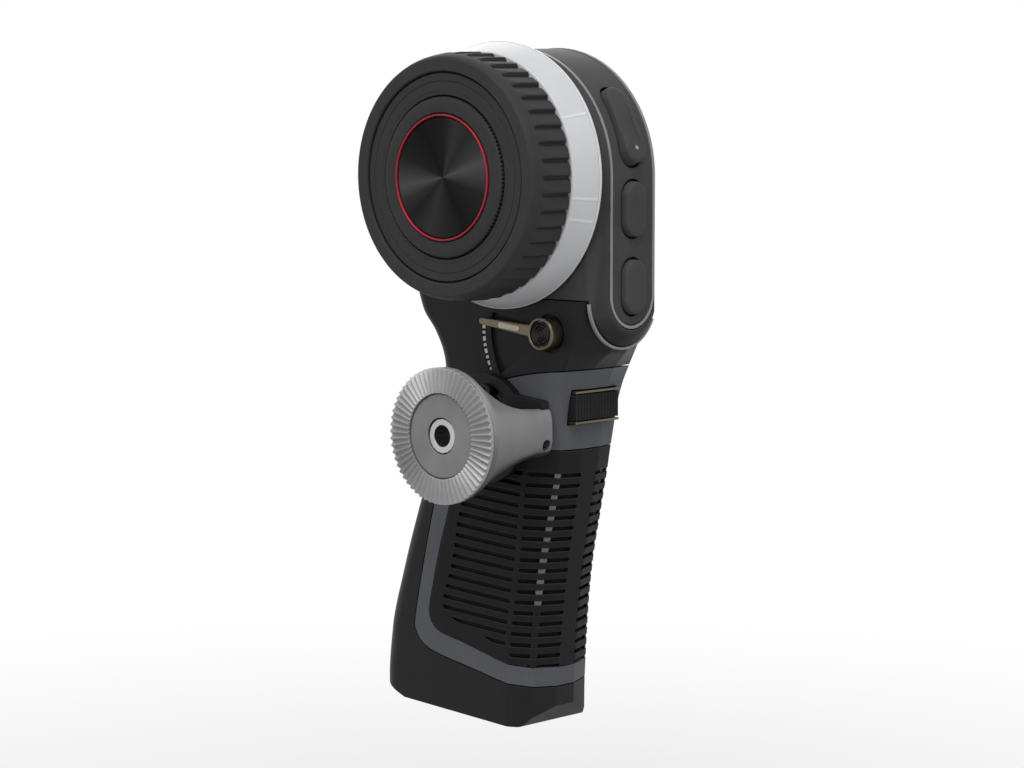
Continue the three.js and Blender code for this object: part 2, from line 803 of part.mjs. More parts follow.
// In the rocker's own frame -Y points out of the rim
function rockerSolid(grow, reach) {
  const face = pod.rimRadius + rocker.proud + reach;
  const inside = pod.rimRadius + rocker.proud - rocker.thickness - reach;
  const shape = ringSector(inside, face, Math.PI - rocker.sweep, Math.PI + rocker.sweep);
  const half = keys.halfWidth + grow;
  const long = rocker.halfLength + grow;
  const slab = alongX(shape, -half - overrun, half + overrun, 0, coarse);
  const plan = alongY(capsule(half, long, -long), -face - overrun, 0, 0, smallSteps);
  const stems = [-1, 1].map((side) => {
    const end = pod.rimRadius - rocker.postEnd - reach;
    return placed(rodY(rocker.postRadius + grow, -inside - keys.edge, -end), 0, 0, side * rocker.postOffset);
  });
  return join(meet(slab, plan), ...stems);
}

function rockerFrame(made) {
  return made.rotate([THREE.MathUtils.radToDeg(-rocker.angle), 0, 0]);
}

function makePod() {
  const p = pod;
  const whole = meet(
    alongX(sideOutline(p.rimRadius), -p.halfWidth, p.halfWidth, p.bevel),
    alongY(frontOutline(p.halfWidth, p.bottomDrop), -p.rimRadius - overrun, p.rimRadius + overrun),
  );
  const far = p.rimRadius + overrun;
  const low = -(p.bottomDrop + p.halfWidth + overrun);
  const neckFront = -(p.rimRadius - p.noseDepth);
  const underNeck = block(-far, far, neckFront, far, low, -p.seatDrop);
  const nose = alongY(frontOutline(p.halfWidth - p.noseWidthStep, p.bottomDrop), -far, far);
  const belowSeat = block(-far, far, -far, neckFront, low, -p.seatDrop);
  const shell = cut(whole, underNeck, cut(belowSeat, nose));

  const floor = -(p.seatDrop - p.wall);
  const innerHalf = p.halfWidth - p.wall;
  const hollow = meet(
    alongX(sideOutline(cavityRadius), -innerHalf, p.coverSplit + gap, 0, coarse),
    block(-far, far, -far, far, floor, far),
  );
  const screwPlaces = [-1, 1].map((side) => [side * cover.screwSide, -cover.screwDrop]);
  const boss = rodX(cover.bossRadius, -p.halfWidth, p.coverSplit);
  const bosses = screwPlaces.map(([y, z]) => placed(boss, 0, y, z));
  const bossHoles = screwPlaces.map(([y, z]) =>
    placed(rodX(screw.shankRadius + gap, p.coverSplit - cover.shank, far), 0, y, z));
  const tongue = block(-p.tongueHalfWidth, p.tongueHalfWidth, -p.tongueHalfLength, p.tongueHalfLength,
    -p.seatDrop - p.tongueDepth, floor);
  const neckScrewHoles = [-1, 1].map((side) =>
    placed(rodZ(screw.shankRadius + gap, low, -p.seatDrop), 0, side * neckScrew.y, 0));

  const sealBack = -p.halfWidth + shaft.sealDepth + gap;
  const sealGroove = ringX(shaft.sealInner - gap, shaft.sealOuter + gap, -far, sealBack);
  const shaftHole = rodX(shaft.collarRadius + 2 * gap, -far, -innerHalf + overrun, medium);
  const stripRecess = rimStrip(bezelHalfWidth + gap, far, p.rimRadius - panel.bezelThickness - gap);
  const rockerHole = rockerFrame(rockerSolid(rocker.hole, rocker.holeReach));
  const pinHole = rockerFrame(placed(rodX(rocker.pinRadius + gap, -rocker.pinHalfLength - gap,
    rocker.pinHalfLength + gap), 0, -(p.rimRadius - rocker.pinDepth), 0));
  const mouth = capsuleFlat(socket.halfWidth + gap, socket.halfHeight + gap);
  const socketHole = placed(alongY(mouth, 0, far, 0, smallSteps), 0, 0, -socket.drop);

  const body = cut(
    join(cut(shell, hollow), ...bosses.map((boss) => meet(boss, shell)), tongue),
    block(p.coverSplit, far, -far, far, low, far),
    stripRecess, ...keyHoles(), rockerHole, pinHole, sealGroove, shaftHole, ...bossHoles, ...neckScrewHoles,
    socketHole,
  );
  piece("pod_body", body, podPlastic, podGroup);

  const split = p.coverSplit + gap;
  const window = roundRect(-display.halfLength - gap, display.halfLength + gap, -display.bottom - gap,
    display.top + gap, display.corner);
  const inner = display.halfLength - display.ledge;
  const throat = roundRect(-inner, inner, -display.bottom + display.ledge, display.top - display.ledge,
    display.corner);
  const glassBack = p.halfWidth - display.inset - display.glass;
  const heads = screwPlaces.map(([y, z]) =>
    placed(rodX(screw.headRadius + gap, p.halfWidth - screw.headLength - gap, far), 0, y, z));
  const lid = cut(
    meet(shell, block(split, far, -far, far, low, far)),
    alongX(window, glassBack - gap, far, 0, cornerSteps),
    alongX(throat, 0, far, 0, cornerSteps),
    stripRecess, ...bossHoles, ...heads,
  );
  piece("pod_cover", lid, podPlastic, podGroup);

  const glass = roundRect(-display.halfLength, display.halfLength, -display.bottom, display.top, display.corner);
  piece("display_glass", alongX(glass, glassBack, p.halfWidth - display.inset, 0, cornerSteps),
    { color: 0x08090a, roughness: 0.08, metalness: 0 }, podGroup);
  const lessen = display.ledge + gap;
  const lcd = roundRect(-display.halfLength + lessen, display.halfLength - lessen, -display.bottom + lessen,
    display.top - lessen, display.corner);
  piece("display_module", alongX(lcd, glassBack - gap - display.moduleDepth, glassBack - gap, 0, cornerSteps),
    { color: 0x151719, roughness: 0.4, metalness: 0.2 }, podGroup);

  screwPlaces.forEach(([y, z], i) => {
    const head = p.halfWidth - screw.headLength;
    const made = placed(screwX(head, p.halfWidth, p.coverSplit - cover.shank + gap), 0, y, z);
    piece(["cover_screw_front", "cover_screw_back"][i], made, steel, podGroup);
  });
  makePanel();
  makePodInside();
}

// A screw along X with its socket head between head and top, and its shank down to end
function screwX(head, top, end) {
  const way = Math.sign(top - head);
  const stock = turnedX([
    [0, end], [screw.shankRadius, end], [screw.shankRadius, head], [screw.headRadius, head],
    [screw.headRadius, top], [0, top],
  ], coarse);
  const hex = turnedX([
    [0, top - way * screw.hexDepth], [screw.hexRadius, top - way * screw.hexDepth],
    [screw.hexRadius, top + way * overrun], [0, top + way * overrun],
  ], hexSides);
  return cut(stock, hex);
}

// A level slot outline with round ends
function capsuleFlat(halfWidth, halfHeight) {
  const reach = halfWidth - halfHeight;
  const shape = new THREE.Shape();
  shape.moveTo(-reach, -halfHeight);
  shape.lineTo(reach, -halfHeight);
  shape.absarc(reach, 0, halfHeight, -Math.PI / 2, Math.PI / 2, false);
  shape.lineTo(-reach, halfHeight);
  shape.absarc(-reach, 0, halfHeight, Math.PI / 2, 1.5 * Math.PI, false);
  return shape;
}

function makePanel() {
  const rim = pod.rimRadius;
  const rockerHole = rockerFrame(rockerSolid(rocker.hole, rocker.holeReach));
  const strip = rimStrip(panel.halfWidth, rim - panel.inset, rim - panel.inset - panel.thickness);
  piece("button_panel", cut(strip, ...keyHoles(), rockerHole), podPlastic, podGroup);

  const bezel = cut(
    rimStrip(bezelHalfWidth, rim, rim - panel.bezelThickness),
    rimStrip(panel.halfWidth + gap, rim + overrun, rim - panel.bezelThickness - overrun),
  );
  piece("panel_bezel", bezel, silver, podGroup);

  keyPlaces.forEach(([name, ...places]) => piece(name, keySolid(...places), podPlastic, podGroup));

  const pin = (extra) => placed(rodX(rocker.pinRadius + extra, -rocker.pinHalfLength - extra,
    rocker.pinHalfLength + extra), 0, -(rim - rocker.pinDepth), 0);
  piece("rocker_button", cut(rockerSolid(0, 0), pin(gap)), podPlastic, rockerGroup);
  piece("rocker_pin", pin(0), steel, rockerGroup);

  const arc = ringSector(pod.halfWidth - pod.noseWidthStep + gap, pod.halfWidth + panel.bezelWidth / 2, Math.PI,
    2 * Math.PI);
  const trimBack = -(rim - pod.noseDepth) - gap;
  const trim = alongY(arc, trimBack - panel.bezelWidth, trimBack);
  piece("cradle_trim", placed(trim, 0, 0, -pod.bottomDrop), silver, podGroup);
}

function makePodInside() {
  const boardY = -(cavityRadius - gap);
  const low = -(pod.seatDrop - pod.wall - gap);
  const boardHigh = -keys.upperTop;
  const boardBack = boardY + keys.boardThickness;
  const plate = block(-keys.boardHalfWidth, keys.boardHalfWidth, boardY, boardBack, low, boardHigh);
  const dome = (post) =>
    placed(rodY(keys.domeRadius, boardY - keys.domeHeight, (boardY + boardBack) / 2), 0, 0, -post);
  piece("switch_board", join(plate, dome(keys.upperPost), dome(keys.lowerPost)), circuit, podGroup);

  const rockerBoardY = -(pod.rimRadius - rocker.boardDepth);
  const chord = rocker.boardHalfLength;
  const face = -Math.sqrt((cavityRadius - gap) ** 2 - chord ** 2);
  const faceBack = face + keys.boardThickness;
  const rockerPlate = block(-keys.boardHalfWidth, keys.boardHalfWidth, face, faceBack, -chord, chord);
  const domes = [-1, 1].map((side) =>
    placed(rodY(rocker.domeRadius, rockerBoardY, (face + faceBack) / 2), 0, 0, side * rocker.postOffset));
  piece("rocker_board", join(rockerPlate, ...domes), circuit, rockerGroup);

  const s = shaft;
  const innerWall = -(pod.halfWidth - pod.wall);
  const bearingBack = -s.outerBearing + s.bearingWidth;
  piece("bearing_housing", turnedX([
    [s.bearingRadius + gap, innerWall + gap], [s.flangeRadius, innerWall + gap],
    [s.flangeRadius, innerWall + gap + s.flangeThickness],
    [s.housingRadius, innerWall + gap + s.flangeThickness],
    [s.housingRadius, s.housingEnd], [s.bearingRadius + gap, s.housingEnd],
    [s.bearingRadius + gap, -s.innerBearing - gap], [s.shoulderRadius, -s.innerBearing - gap],
    [s.shoulderRadius, bearingBack + gap], [s.bearingRadius + gap, bearingBack + gap],
    [s.bearingRadius + gap, innerWall + gap],
  ]), greyMetal, podGroup);
  [["bearing_outer", -s.outerBearing], ["bearing_inner", -s.innerBearing]].forEach(([name, from]) => {
    piece(name, ringX(s.radius + gap, s.bearingRadius, from, from + s.bearingWidth), steel, podGroup);
  });
  const sealFace = -pod.halfWidth - s.sealProud;
  const seal = ringX(s.sealInner, s.sealOuter, sealFace, -pod.halfWidth + s.sealDepth);
  piece("wheel_seal", seal, blackRubber, podGroup);

  const cardShape = sideOutline(cavityRadius - gap);
  const card = meet(
    alongX(cardShape, board.face, board.face + board.thickness, 0, coarse),
    block(0, pod.halfWidth, -pod.rimRadius, pod.rimRadius, -board.bottomDrop, pod.rimRadius),
    block(0, pod.halfWidth, boardBack + 2 * gap, cavityRadius - board.backClear, -pod.rimRadius, pod.rimRadius),
  );
  const rockerRoom = block(0, pod.halfWidth, -pod.rimRadius, faceBack + gap, -chord - gap, chord + gap);
  const keepRocker = rockerFrame(rockerRoom);
  const chip = block(board.face - board.chipHeight, board.face + board.thickness / 2, -board.chipHalf,
    board.chipHalf, -board.chipHalf, board.chipHalf);
  piece("main_board", join(cut(card, keepRocker), chip), circuit, podGroup);

  const mouth = pod.rimRadius - gap;
  const can = cut(
    alongY(capsuleFlat(socket.halfWidth, socket.halfHeight), mouth - socket.length, mouth, 0, smallSteps),
    alongY(capsuleFlat(socket.halfWidth - socket.wall, socket.halfHeight - socket.wall),
      mouth - socket.length + socket.floor, mouth + overrun, 0, smallSteps),
  );
  piece("charging_socket", placed(can, 0, 0, -socket.drop), steel, podGroup);
}

// Handle

// One section of the handle, inset evenly, as points round from the front's right edge
function section(share, inset) {
  const h = handle;
  const depth = depthAt(share);
  const front = depth * spread(frontShares, share) + inset;
  const corner = depth * spread(cornerShares, share) + inset;
  const wide = h.halfWidth * spread(widthShares, share) - inset;
  const cornerWide = Math.min(h.halfWidth * spread(cornerWidthShares, share) - inset, wide);
  const sideStart = Math.max(depth * spread(sideStartShares, share) + inset / 2, corner + gap);
  const back = depth * spread(backShares, share) - inset;
  const round = Math.max(h.halfWidth * spread(backRadiusShares, share) - inset / 2, gap);
  const flat = cornerWide * spread(flatShares, share);
  const half = [[flat, front], [cornerWide, corner], [wide, sideStart]];
  for (let i = 0; i <= h.backSteps; i++) {
    const turn = (Math.PI / 2) * (i / h.backSteps);
    half.push([wide - round + round * Math.cos(turn), back - round + round * Math.sin(turn)]);
  }
  const z = -dropAt(share);
  const right = half.map(([x, y]) => [x, y, z]);
  const left = half.map(([x, y]) => [-x, y, z]).reverse();
  return [...right, ...left];
}

function handleSolid(inset) {
  const last = 1 + handle.underside / handle.height;
  const rings = [...stationShares, last].map((share) => section(share, inset));
  return solid(loft(rings));
}

function loft(rings) {
  const points = [];
  const triangle = (a, b, c) => points.push(...a, ...b, ...c);
  const count = rings[0].length;
  for (let i = 1; i < rings.length; i++) {
    for (let k = 0; k < count; k++) {
      const next = (k + 1) % count;
      triangle(rings[i - 1][k], rings[i][k], rings[i][next]);
      triangle(rings[i - 1][k], rings[i][next], rings[i - 1][next]);
    }
  }
  [[rings[0], false], [rings[rings.length - 1], true]].forEach(([ring, flip]) => {
    const middle = [0, 1, 2].map((axis) => ring.reduce((sum, point) => sum + point[axis], 0) / count);
    for (let k = 0; k < count; k++) {
      const next = (k + 1) % count;
      triangle(middle, ring[flip ? next : k], ring[flip ? k : next]);
    }
  });
  const geometry = new THREE.BufferGeometry();
  geometry.setAttribute("position", new THREE.BufferAttribute(new Float32Array(points), 3));
  return geometry;
}

const fromShares = (table) =>
  table.map(([depthShare, share]) => new THREE.Vector2(depthAt(share) * depthShare, -dropAt(share)));

// A smooth side outline through the table's points, closed by a straight line, grown by a distance
function sideLoop(table, grow) {
  const curve = new THREE.SplineCurve(fromShares(table));
  const points = curve.getPoints(table.length);
  const grown = points.map((point, i) => {
    const before = points[Math.max(i - 1, 0)];
    const after = points[Math.min(i + 1, points.length - 1)];
    const along = after.clone().sub(before).normalize();
    return new THREE.Vector2(point.x - along.y * grow, point.y + along.x * grow);
  });
  return alongX(new THREE.Shape(grown), -handle.halfWidth - overrun, handle.halfWidth + overrun);
}

function makeHandle() {
  const h = handle;
  const far = h.halfWidth + overrun;
  const outer = meet(handleSolid(0), alongX(footOutline(), -far, far));
  const loopOuter = sideLoop(trimOuterShares, 0);
  const loopRecess = sideLoop(trimOuterShares, gap);
  const window = sideLoop(trimInnerShares, 0);
  const windowFill = sideLoop(trimInnerShares, -gap);
  const underSkin = handleSolid(h.skin);
  const bed = handleSolid(h.skin + gap);
  const hollowWhole = handleSolid(h.skin + gap + h.wall);

  const triggerHole = block(-trigger.halfWidth - trigger.hole, trigger.halfWidth + trigger.hole,
    -h.depth, triggerFront + trigger.housingStart, -triggerDrop - trigger.halfHeight - trigger.hole,
    -triggerDrop + trigger.halfHeight + trigger.hole);
  const mountHoles = mountScrews.map(({ y, z }) =>
    placed(rodX(screw.shankRadius + gap, -h.halfWidth - overrun, 0), 0, mount.y + y, z - mountDrop));

  const skin = cut(outer, underSkin);
  const trim = cut(meet(skin, loopOuter), window, triggerHole, ...mountHoles);
  piece("collar_trim", trim, blueGrey, handleGroup);
  piece("grip_sleeve", cut(meet(skin, windowFill), ...sleeveGrooves()), blackRubber, handleGroup);

  const doorTop = door.thickness + gap + door.roof;
  const limitLow = baseFrame(block(-far, far, -h.depth, h.depth, doorTop, 2 * h.height));
  const hollow = meet(hollowWhole, limitLow, block(-far, far, -h.depth, h.depth, -2 * h.height, -cavityDrop));
  const core = cut(join(cut(outer, loopRecess), meet(bed, outer)), hollow, triggerHole, ...mountHoles);

  const split = -splitDrop;
  const upper = block(-far, far, -h.depth, h.depth, split + gap / 2, 0);
  const lower = (side) => block(side > 0 ? gap / 2 : -far, side > 0 ? far : -gap / 2, -h.depth, h.depth,
    -2 * h.height, split - gap / 2);

  piece("neck_yoke", neckSolid(meet(core, upper)), blackPlastic, handleGroup);
  makeShells(core, meet(handleSolid(h.skin + gap + h.wall / 2), limitLow), lower);
  makeNeckScrews();
  makeLever();
  makeTrigger();
}

// The side outline of the grip's foot, open upwards
function footOutline() {
  const f = foot;
  const baseAt = (y) => -doorDrop + (y - door.y) * Math.tan(door.rake);
  const low = baseAt(-f.front);
  const heel = baseAt(f.back);
  return outline([
    [-handle.depth, 0], [-handle.depth, low + f.frontRise], [-f.front - f.frontRun, low + f.frontRise],
    [-f.front, low], [f.back, heel], [f.back + f.backRun, heel + f.backRise], [handle.depth, heel + f.backRise],
    [handle.depth, 0],
  ]);
}

function neckSolid(stock) {
  const p = pod;
  const mortise = block(-p.tongueHalfWidth - gap, p.tongueHalfWidth + gap, -p.tongueHalfLength - gap,
    p.tongueHalfLength + gap, -p.seatDrop - p.tongueDepth - gap, 0);
  const side = handle.halfWidth * spread(widthShares, 0);
  const recess = join(
    alongX(ringSector(0, lever.recessRadius, lever.recessBottom, lever.recessTop), 0,
      lever.recessDepth + overrun, 0, cornerSteps),
    rodX(lever.knobRadius + 2 * gap, 0, lever.recessDepth + overrun, medium),
  );
  const scale = alongX(ringSector(lever.scaleInner, lever.scaleOuter, lever.scaleBottom, lever.scaleTop), 0,
    lever.scaleDepth + overrun, 0, cornerSteps);
  const clipPocket = rodX(lever.clipRadius + gap, -lever.shaftEnd - lever.clipThickness - gap, 0);
  const leverCuts = [
    placed(recess, -side - overrun, lever.y, -leverDrop),
    placed(scale, -side - overrun, lever.y, -leverDrop),
    placed(rodX(lever.shaftRadius + gap, -side - overrun, 0), 0, lever.y, -leverDrop),
    placed(clipPocket, 0, lever.y, -leverDrop),
  ];
  const headHole = rodZ(neckScrew.headRadius + gap, -cavityDrop - overrun, -cavityDrop + gap);
  const screwHoles = [-1, 1].flatMap((way) => [
    placed(rodZ(screw.shankRadius + gap, -cavityDrop - overrun, 0), 0, way * neckScrew.y, 0),
    placed(headHole, 0, way * neckScrew.y, 0),
  ]);
  return cut(stock, mortise, ...leverCuts, ...screwHoles);
}

function makeNeckScrews() {
  const head = -cavityDrop;
  const low = head - neckScrew.headLength;
  const high = head + neckScrew.length;
  [["neck_screw_front", -1], ["neck_screw_back", 1]].forEach(([name, way]) => {
    const stock = turnedZ([
      [0, low], [neckScrew.headRadius, low], [neckScrew.headRadius, head], [screw.shankRadius, head],
      [screw.shankRadius, high], [0, high],
    ], coarse);
    const hex = rodZ(screw.hexRadius, low - overrun, low + screw.hexDepth, hexSides);
    piece(name, placed(cut(stock, hex), 0, way * neckScrew.y, 0), steel, handleGroup);
  });
}

// The rubber's slots: raked slabs that cut the skin on the side panels and on the front corners
function sleeveGrooves() {
  const g = grooves;
  const far = handle.depth;
  const skin = cut(handleSolid(-g.depth), handleSolid(g.depth));
  const inside = sideLoop(grooveShares, 0);
  const slabs = [];
  for (let i = 0; i < g.count; i++) {
    const middle = -dropAt(g.firstShare + i * g.pitchShare);
    slabs.push(block(-far, far, -far, far, -g.height / 2, g.height / 2)
      .rotate([THREE.MathUtils.radToDeg(g.rake), 0, 0])
      .translate([0, 0, middle]));
  }
  const bridge = new THREE.Shape(grooveBridge());
  const plain = block(-g.plainHalfWidth, g.plainHalfWidth, -far, 0, -2 * handle.height, 0);
  const strips = meet(join(...slabs), skin, inside);
  return [cut(strips, alongX(bridge, -far, far), plain)];
}

function grooveBridge() {
  const shares = sideStartShares.map(([share]) => share);
  const line = (shift) => shares.map((share) =>
    new THREE.Vector2(depthAt(share) * spread(sideStartShares, share) + shift, -dropAt(share)));
  return [...line(0), ...line(grooves.bridge).reverse()];
}

function baseFrame(made) {
  return made.rotate([THREE.MathUtils.radToDeg(door.rake), 0, 0]).translate([0, door.y, -doorDrop]);
}

function batteryFrame(made) {
  const turned = made.rotate([THREE.MathUtils.radToDeg(battery.tilt), 0, 0]);
  return turned.translate([0, battery.topY, -batteryTopDrop]);
}

function makeShells(core, bossRoom, lower) {
  const h = handle;
  const b = battery;
  const d = door;
  const bay = batteryFrame(rodZ(b.radius + gap, -batteryLength - 2 * overrun, b.nubHeight, medium));
  const pocket = baseFrame(block(-d.halfWidth - gap, d.halfWidth + gap, -d.front - gap, d.back + gap, -overrun,
    d.thickness + gap));
  const knucklePocket = baseFrame(block(-d.knuckleHalf - gap, d.knuckleHalf + gap, d.back,
    d.hingeBack + d.knuckleRadius + gap, -overrun, d.hingeUp + d.knuckleRadius + gap));
  const pin = rodX(d.pinRadius + gap, -d.pinHalf - gap, d.pinHalf + gap);
  const pinHole = baseFrame(placed(pin, 0, d.hingeBack, d.hingeUp));
  const tongueSlot = baseFrame(block(-d.latchHalf + gap, d.latchHalf - gap, -d.front - d.latchTongue - 2 * gap,
    -d.front, -overrun, d.latchThickness + 2 * gap));
  const cuts = [bay, pocket, knucklePocket, pinHole, tongueSlot];

  const half = h.halfWidth;
  const places = shellScrews.map(({ name, yShare, share }) =>
    ({ name, y: depthAt(share) * yShare, z: -dropAt(share) }));
  const boss = (y, z, from, to) => placed(rodX(shellBoss.radius, from, to), 0, y, z);
  const bosses = (from, to) => places.map(({ y, z }) => meet(boss(y, z, from, to), bossRoom));
  const left = join(meet(core, lower(-1)), ...bosses(-half, -gap / 2));
  const right = join(meet(core, lower(1)), ...bosses(gap / 2, half));
  const { seat, shankEnd } = shellBoss;
  const shankHoles = places.map(({ y, z }) =>
    placed(rodX(screw.shankRadius + gap, -shankEnd - gap, seat), 0, y, z));
  const headHoles = places.map(({ y, z }) =>
    placed(rodX(screw.headRadius + gap, seat - gap, half + overrun), 0, y, z));
  piece("grip_shell_left", cut(left, ...cuts, ...shankHoles), blackPlastic, handleGroup);
  piece("grip_shell_right", cut(right, ...cuts, ...shankHoles, ...headHoles), blackPlastic, handleGroup);
  places.forEach(({ name, y, z }) => {
    piece(name, placed(screwX(seat, seat + screw.headLength, -shankEnd), 0, y, z), steel, handleGroup);
  });
}

function makeLever() {
  const side = handle.halfWidth * spread(widthShares, 0);
  const l = lever;
  const armBack = -side - l.armGap;
  const tip = l.armLength;
  const blade = outline([
    [0, -l.rootHalf], [tip - l.tipHalf, -l.tipHalf], [tip, 0], [tip - l.tipHalf, l.tipHalf], [0, l.rootHalf],
  ]);
  const level = alongX(blade, armBack - l.armThickness, armBack);
  const arm = level.rotate([THREE.MathUtils.radToDeg(l.armAngle), 0, 0]);
  const knobBack = -side + l.recessDepth - gap;
  const front = -side - l.knobReach;
  const knob = rodX(l.knobRadius, front, knobBack, medium);
  const bore = rodX(l.shaftRadius + gap, front + l.pinCover, 0);
  const capSeat = rodX(l.capRadius + gap, front - overrun, front + l.capRecess + gap, medium);
  piece("lever_arm", cut(join(arm, knob), bore, capSeat), gold, leverGroup);
  const capBack = front + l.capRecess;
  piece("lever_cap", turnedX([
    [0, capBack], [l.capRadius, capBack], [l.capRadius, capBack - l.capThickness], [0, front + gap],
  ]), { color: 0x24221f, roughness: 0.3, metalness: 0.9 }, leverGroup);
  const pin = rodX(l.shaftRadius, front + l.pinCover + gap, -l.shaftEnd);
  const head = rodX(l.clipRadius, -l.shaftEnd - l.clipThickness, -l.shaftEnd);
  piece("lever_shaft", join(pin, head), steel, leverGroup);
}

function makeTrigger() {
  const t = trigger;
  const z = -triggerDrop;
  const front = triggerFront;
  const rear = front + t.depth;
  const plate = (side) => {
    const outerZ = z + side * t.halfHeight;
    const innerZ = z + side * (t.halfHeight - t.edge);
    const [low, high] = [Math.min(outerZ, innerZ), Math.max(outerZ, innerZ)];
    return block(-t.halfWidth, t.halfWidth, front - t.proud, rear, low, high);
  };
  const back = block(-t.halfWidth, t.halfWidth, rear, rear + t.back, z - t.halfHeight, z + t.halfHeight);
  const stem = block(-t.stemHalfWidth, t.stemHalfWidth, rear, rear + t.back + t.stemLength,
    z - t.stemHalfHeight, z + t.stemHalfHeight);
  piece("trigger_frame", join(plate(-1), plate(1), back, stem), gold, handleGroup);

  const padHalf = t.halfHeight - t.edge - gap;
  const pad = block(-t.halfWidth, t.halfWidth, front, rear - gap, z - padHalf, z + padHalf);
  const pitch = (2 * t.halfWidth) / t.ribs;
  const slot = block(-t.ribDepth / 2, t.ribDepth / 2, front - overrun, front + t.ribDepth,
    z - overrun - padHalf, z + overrun + padHalf);
  const slots = Array.from({ length: t.ribs - 1 }, (_, i) => placed(slot, (i + 1) * pitch - t.halfWidth, 0, 0));
  piece("trigger_pad", cut(pad, ...slots), blackRubber, handleGroup);

  const topShare = t.heightShare - t.housingHalfHeight / handle.height;
  const room = handle.halfWidth * spread(widthShares, topShare) - handle.skin - gap - handle.wall;
  const housing = block(gap - room, room - gap, front + t.housingStart, front + t.housingEnd,
    z - t.housingHalfHeight, z + t.housingHalfHeight);
  const pocketEnd = front + t.pocketEnd;
  const pocket = block(-t.stemHalfWidth - gap, t.stemHalfWidth + gap, front, pocketEnd,
    z - t.stemHalfHeight - gap, z + t.stemHalfHeight + gap);
  const dome = placed(rodY(t.domeRadius, pocketEnd - t.domeHeight, pocketEnd + gap), 0, 0, z);
  piece("trigger_housing", join(cut(housing, pocket), dome), blackPlastic, handleGroup);
}

// Rosette mount, in a frame on the rosette's axis at the centre plane

function makeMount() {
  const m = mount;
  const side = handle.halfWidth;
  const baseBack = -side - gap;
  const baseFront = baseBack - m.baseThickness;
  const column = (grow) => roundRect(-m.columnFront - grow, m.columnBack + grow, -m.columnHalfHeight - grow,
    m.columnHalfHeight + grow, m.columnCorner);
  const disc = placed(rodX(m.baseRadius, baseFront, baseBack, medium), 0, m.baseShift, -m.baseLower);
  const plate = join(disc, alongX(column(gap), baseFront, baseBack, 0, cornerSteps));
  const plateHoles = mountScrews.map(({ y, z }) =>
    placed(rodX(screw.shankRadius + gap, baseFront - overrun, 0), 0, y, z));
  piece("mount_base", cut(plate, ...plateHoles), blackPlastic, mountGroup);

  const start = baseFront - gap;
  const end = -(m.reach - m.toothRing - gap);
  const flareStart = start - m.columnLength;
  const rimBack = end + m.rimThickness;
  const outlinePoints = column(0).getSpacedPoints(2 * coarse).slice(1);
  const rings = [];
  const ringAt = (x, blend) => outlinePoints.map((point) => {
    const turn = Math.atan2(point.y, point.x);
    const circle = [m.radius * Math.cos(turn), m.radius * Math.sin(turn)];
    return [x, point.x + (circle[0] - point.x) * blend, point.y + (circle[1] - point.y) * blend];
  });
  rings.push(ringAt(start, 0));
  for (let i = 0; i <= m.flareRings; i++) {
    const part = i / m.flareRings;
    rings.push(ringAt(flareStart + (rimBack - flareStart) * part, part ** m.flarePower));
  }
  rings.push(ringAt(end, 1));
  const horn = solid(loft(rings));
  const landFront = -(m.reach - m.land);
  const land = rodX(m.toothInner - gap, landFront, end + gap, medium);
  const insertHole = rodX(m.insertOuter + gap, landFront - overrun, landFront + m.insertDepth + gap, medium);
  const screwPockets = mountScrews.map(({ y, z }) =>
    placed(rodX(screw.headRadius + gap, start - m.pocketLength, start + overrun), 0, y, z));
  piece("rosette_mount", cut(join(horn, land), insertHole, ...screwPockets), greyMetal, mountGroup);
  piece("rosette_ring", rosetteTeeth(), greyMetal, mountGroup);
  const insert = ringX(m.insertBore, m.insertOuter, landFront + gap, landFront + m.insertDepth);
  piece("thread_insert", insert, steel, mountGroup);

  mountScrews.forEach(({ name, y, z }) => {
    const head = baseFront - gap;
    const made = placed(screwX(head, head - screw.headLength, head + m.screwLength), 0, y, z);
    piece(name, made, steel, mountGroup);
  });
}

// Triangles between two closed rings of points, where one count is a multiple of the other
function stitch(points, one, other) {
  const steps = Math.max(one.length, other.length);
  const at = (loop, k) => loop[Math.floor((k * loop.length) / steps) % loop.length];
  for (let k = 0; k < steps; k++) {
    const corners = [at(one, k), at(other, k), at(other, k + 1), at(one, k + 1)];
    const [a, b, c, d] = corners;
    if (b !== c) points.push(...a, ...b, ...c);
    if (a !== d) points.push(...a, ...c, ...d);
  }
}

// Radial V teeth: each tooth's height grows with the radius, as on a mating rosette
function rosetteTeeth() {
  const m = mount;
  const ring = (steps, radius, tip, valley) => Array.from({ length: steps }, (_, i) => {
    const turn = (i / steps) * 2 * Math.PI;
    return [i % 2 ? valley : tip, radius * Math.cos(turn), radius * Math.sin(turn)];
  });
  const back = -(m.reach - m.toothRing);
  const toothed = (radius) => ring(2 * m.teeth, radius, -m.reach, -m.reach + (m.toothDepth * radius) / m.radius);
  const plain = (radius) => ring(ringSteps, radius, back, back);
  const loops = [toothed(m.toothInner), toothed(m.radius), plain(m.radius), plain(m.toothInner)];
  const points = [];
  loops.forEach((loop, i) => stitch(points, loop, loops[(i + 1) % loops.length]));
  const geometry = new THREE.BufferGeometry();
  geometry.setAttribute("position", new THREE.BufferAttribute(new Float32Array(points), 3));
  return solid(geometry);
}

// Battery and its door

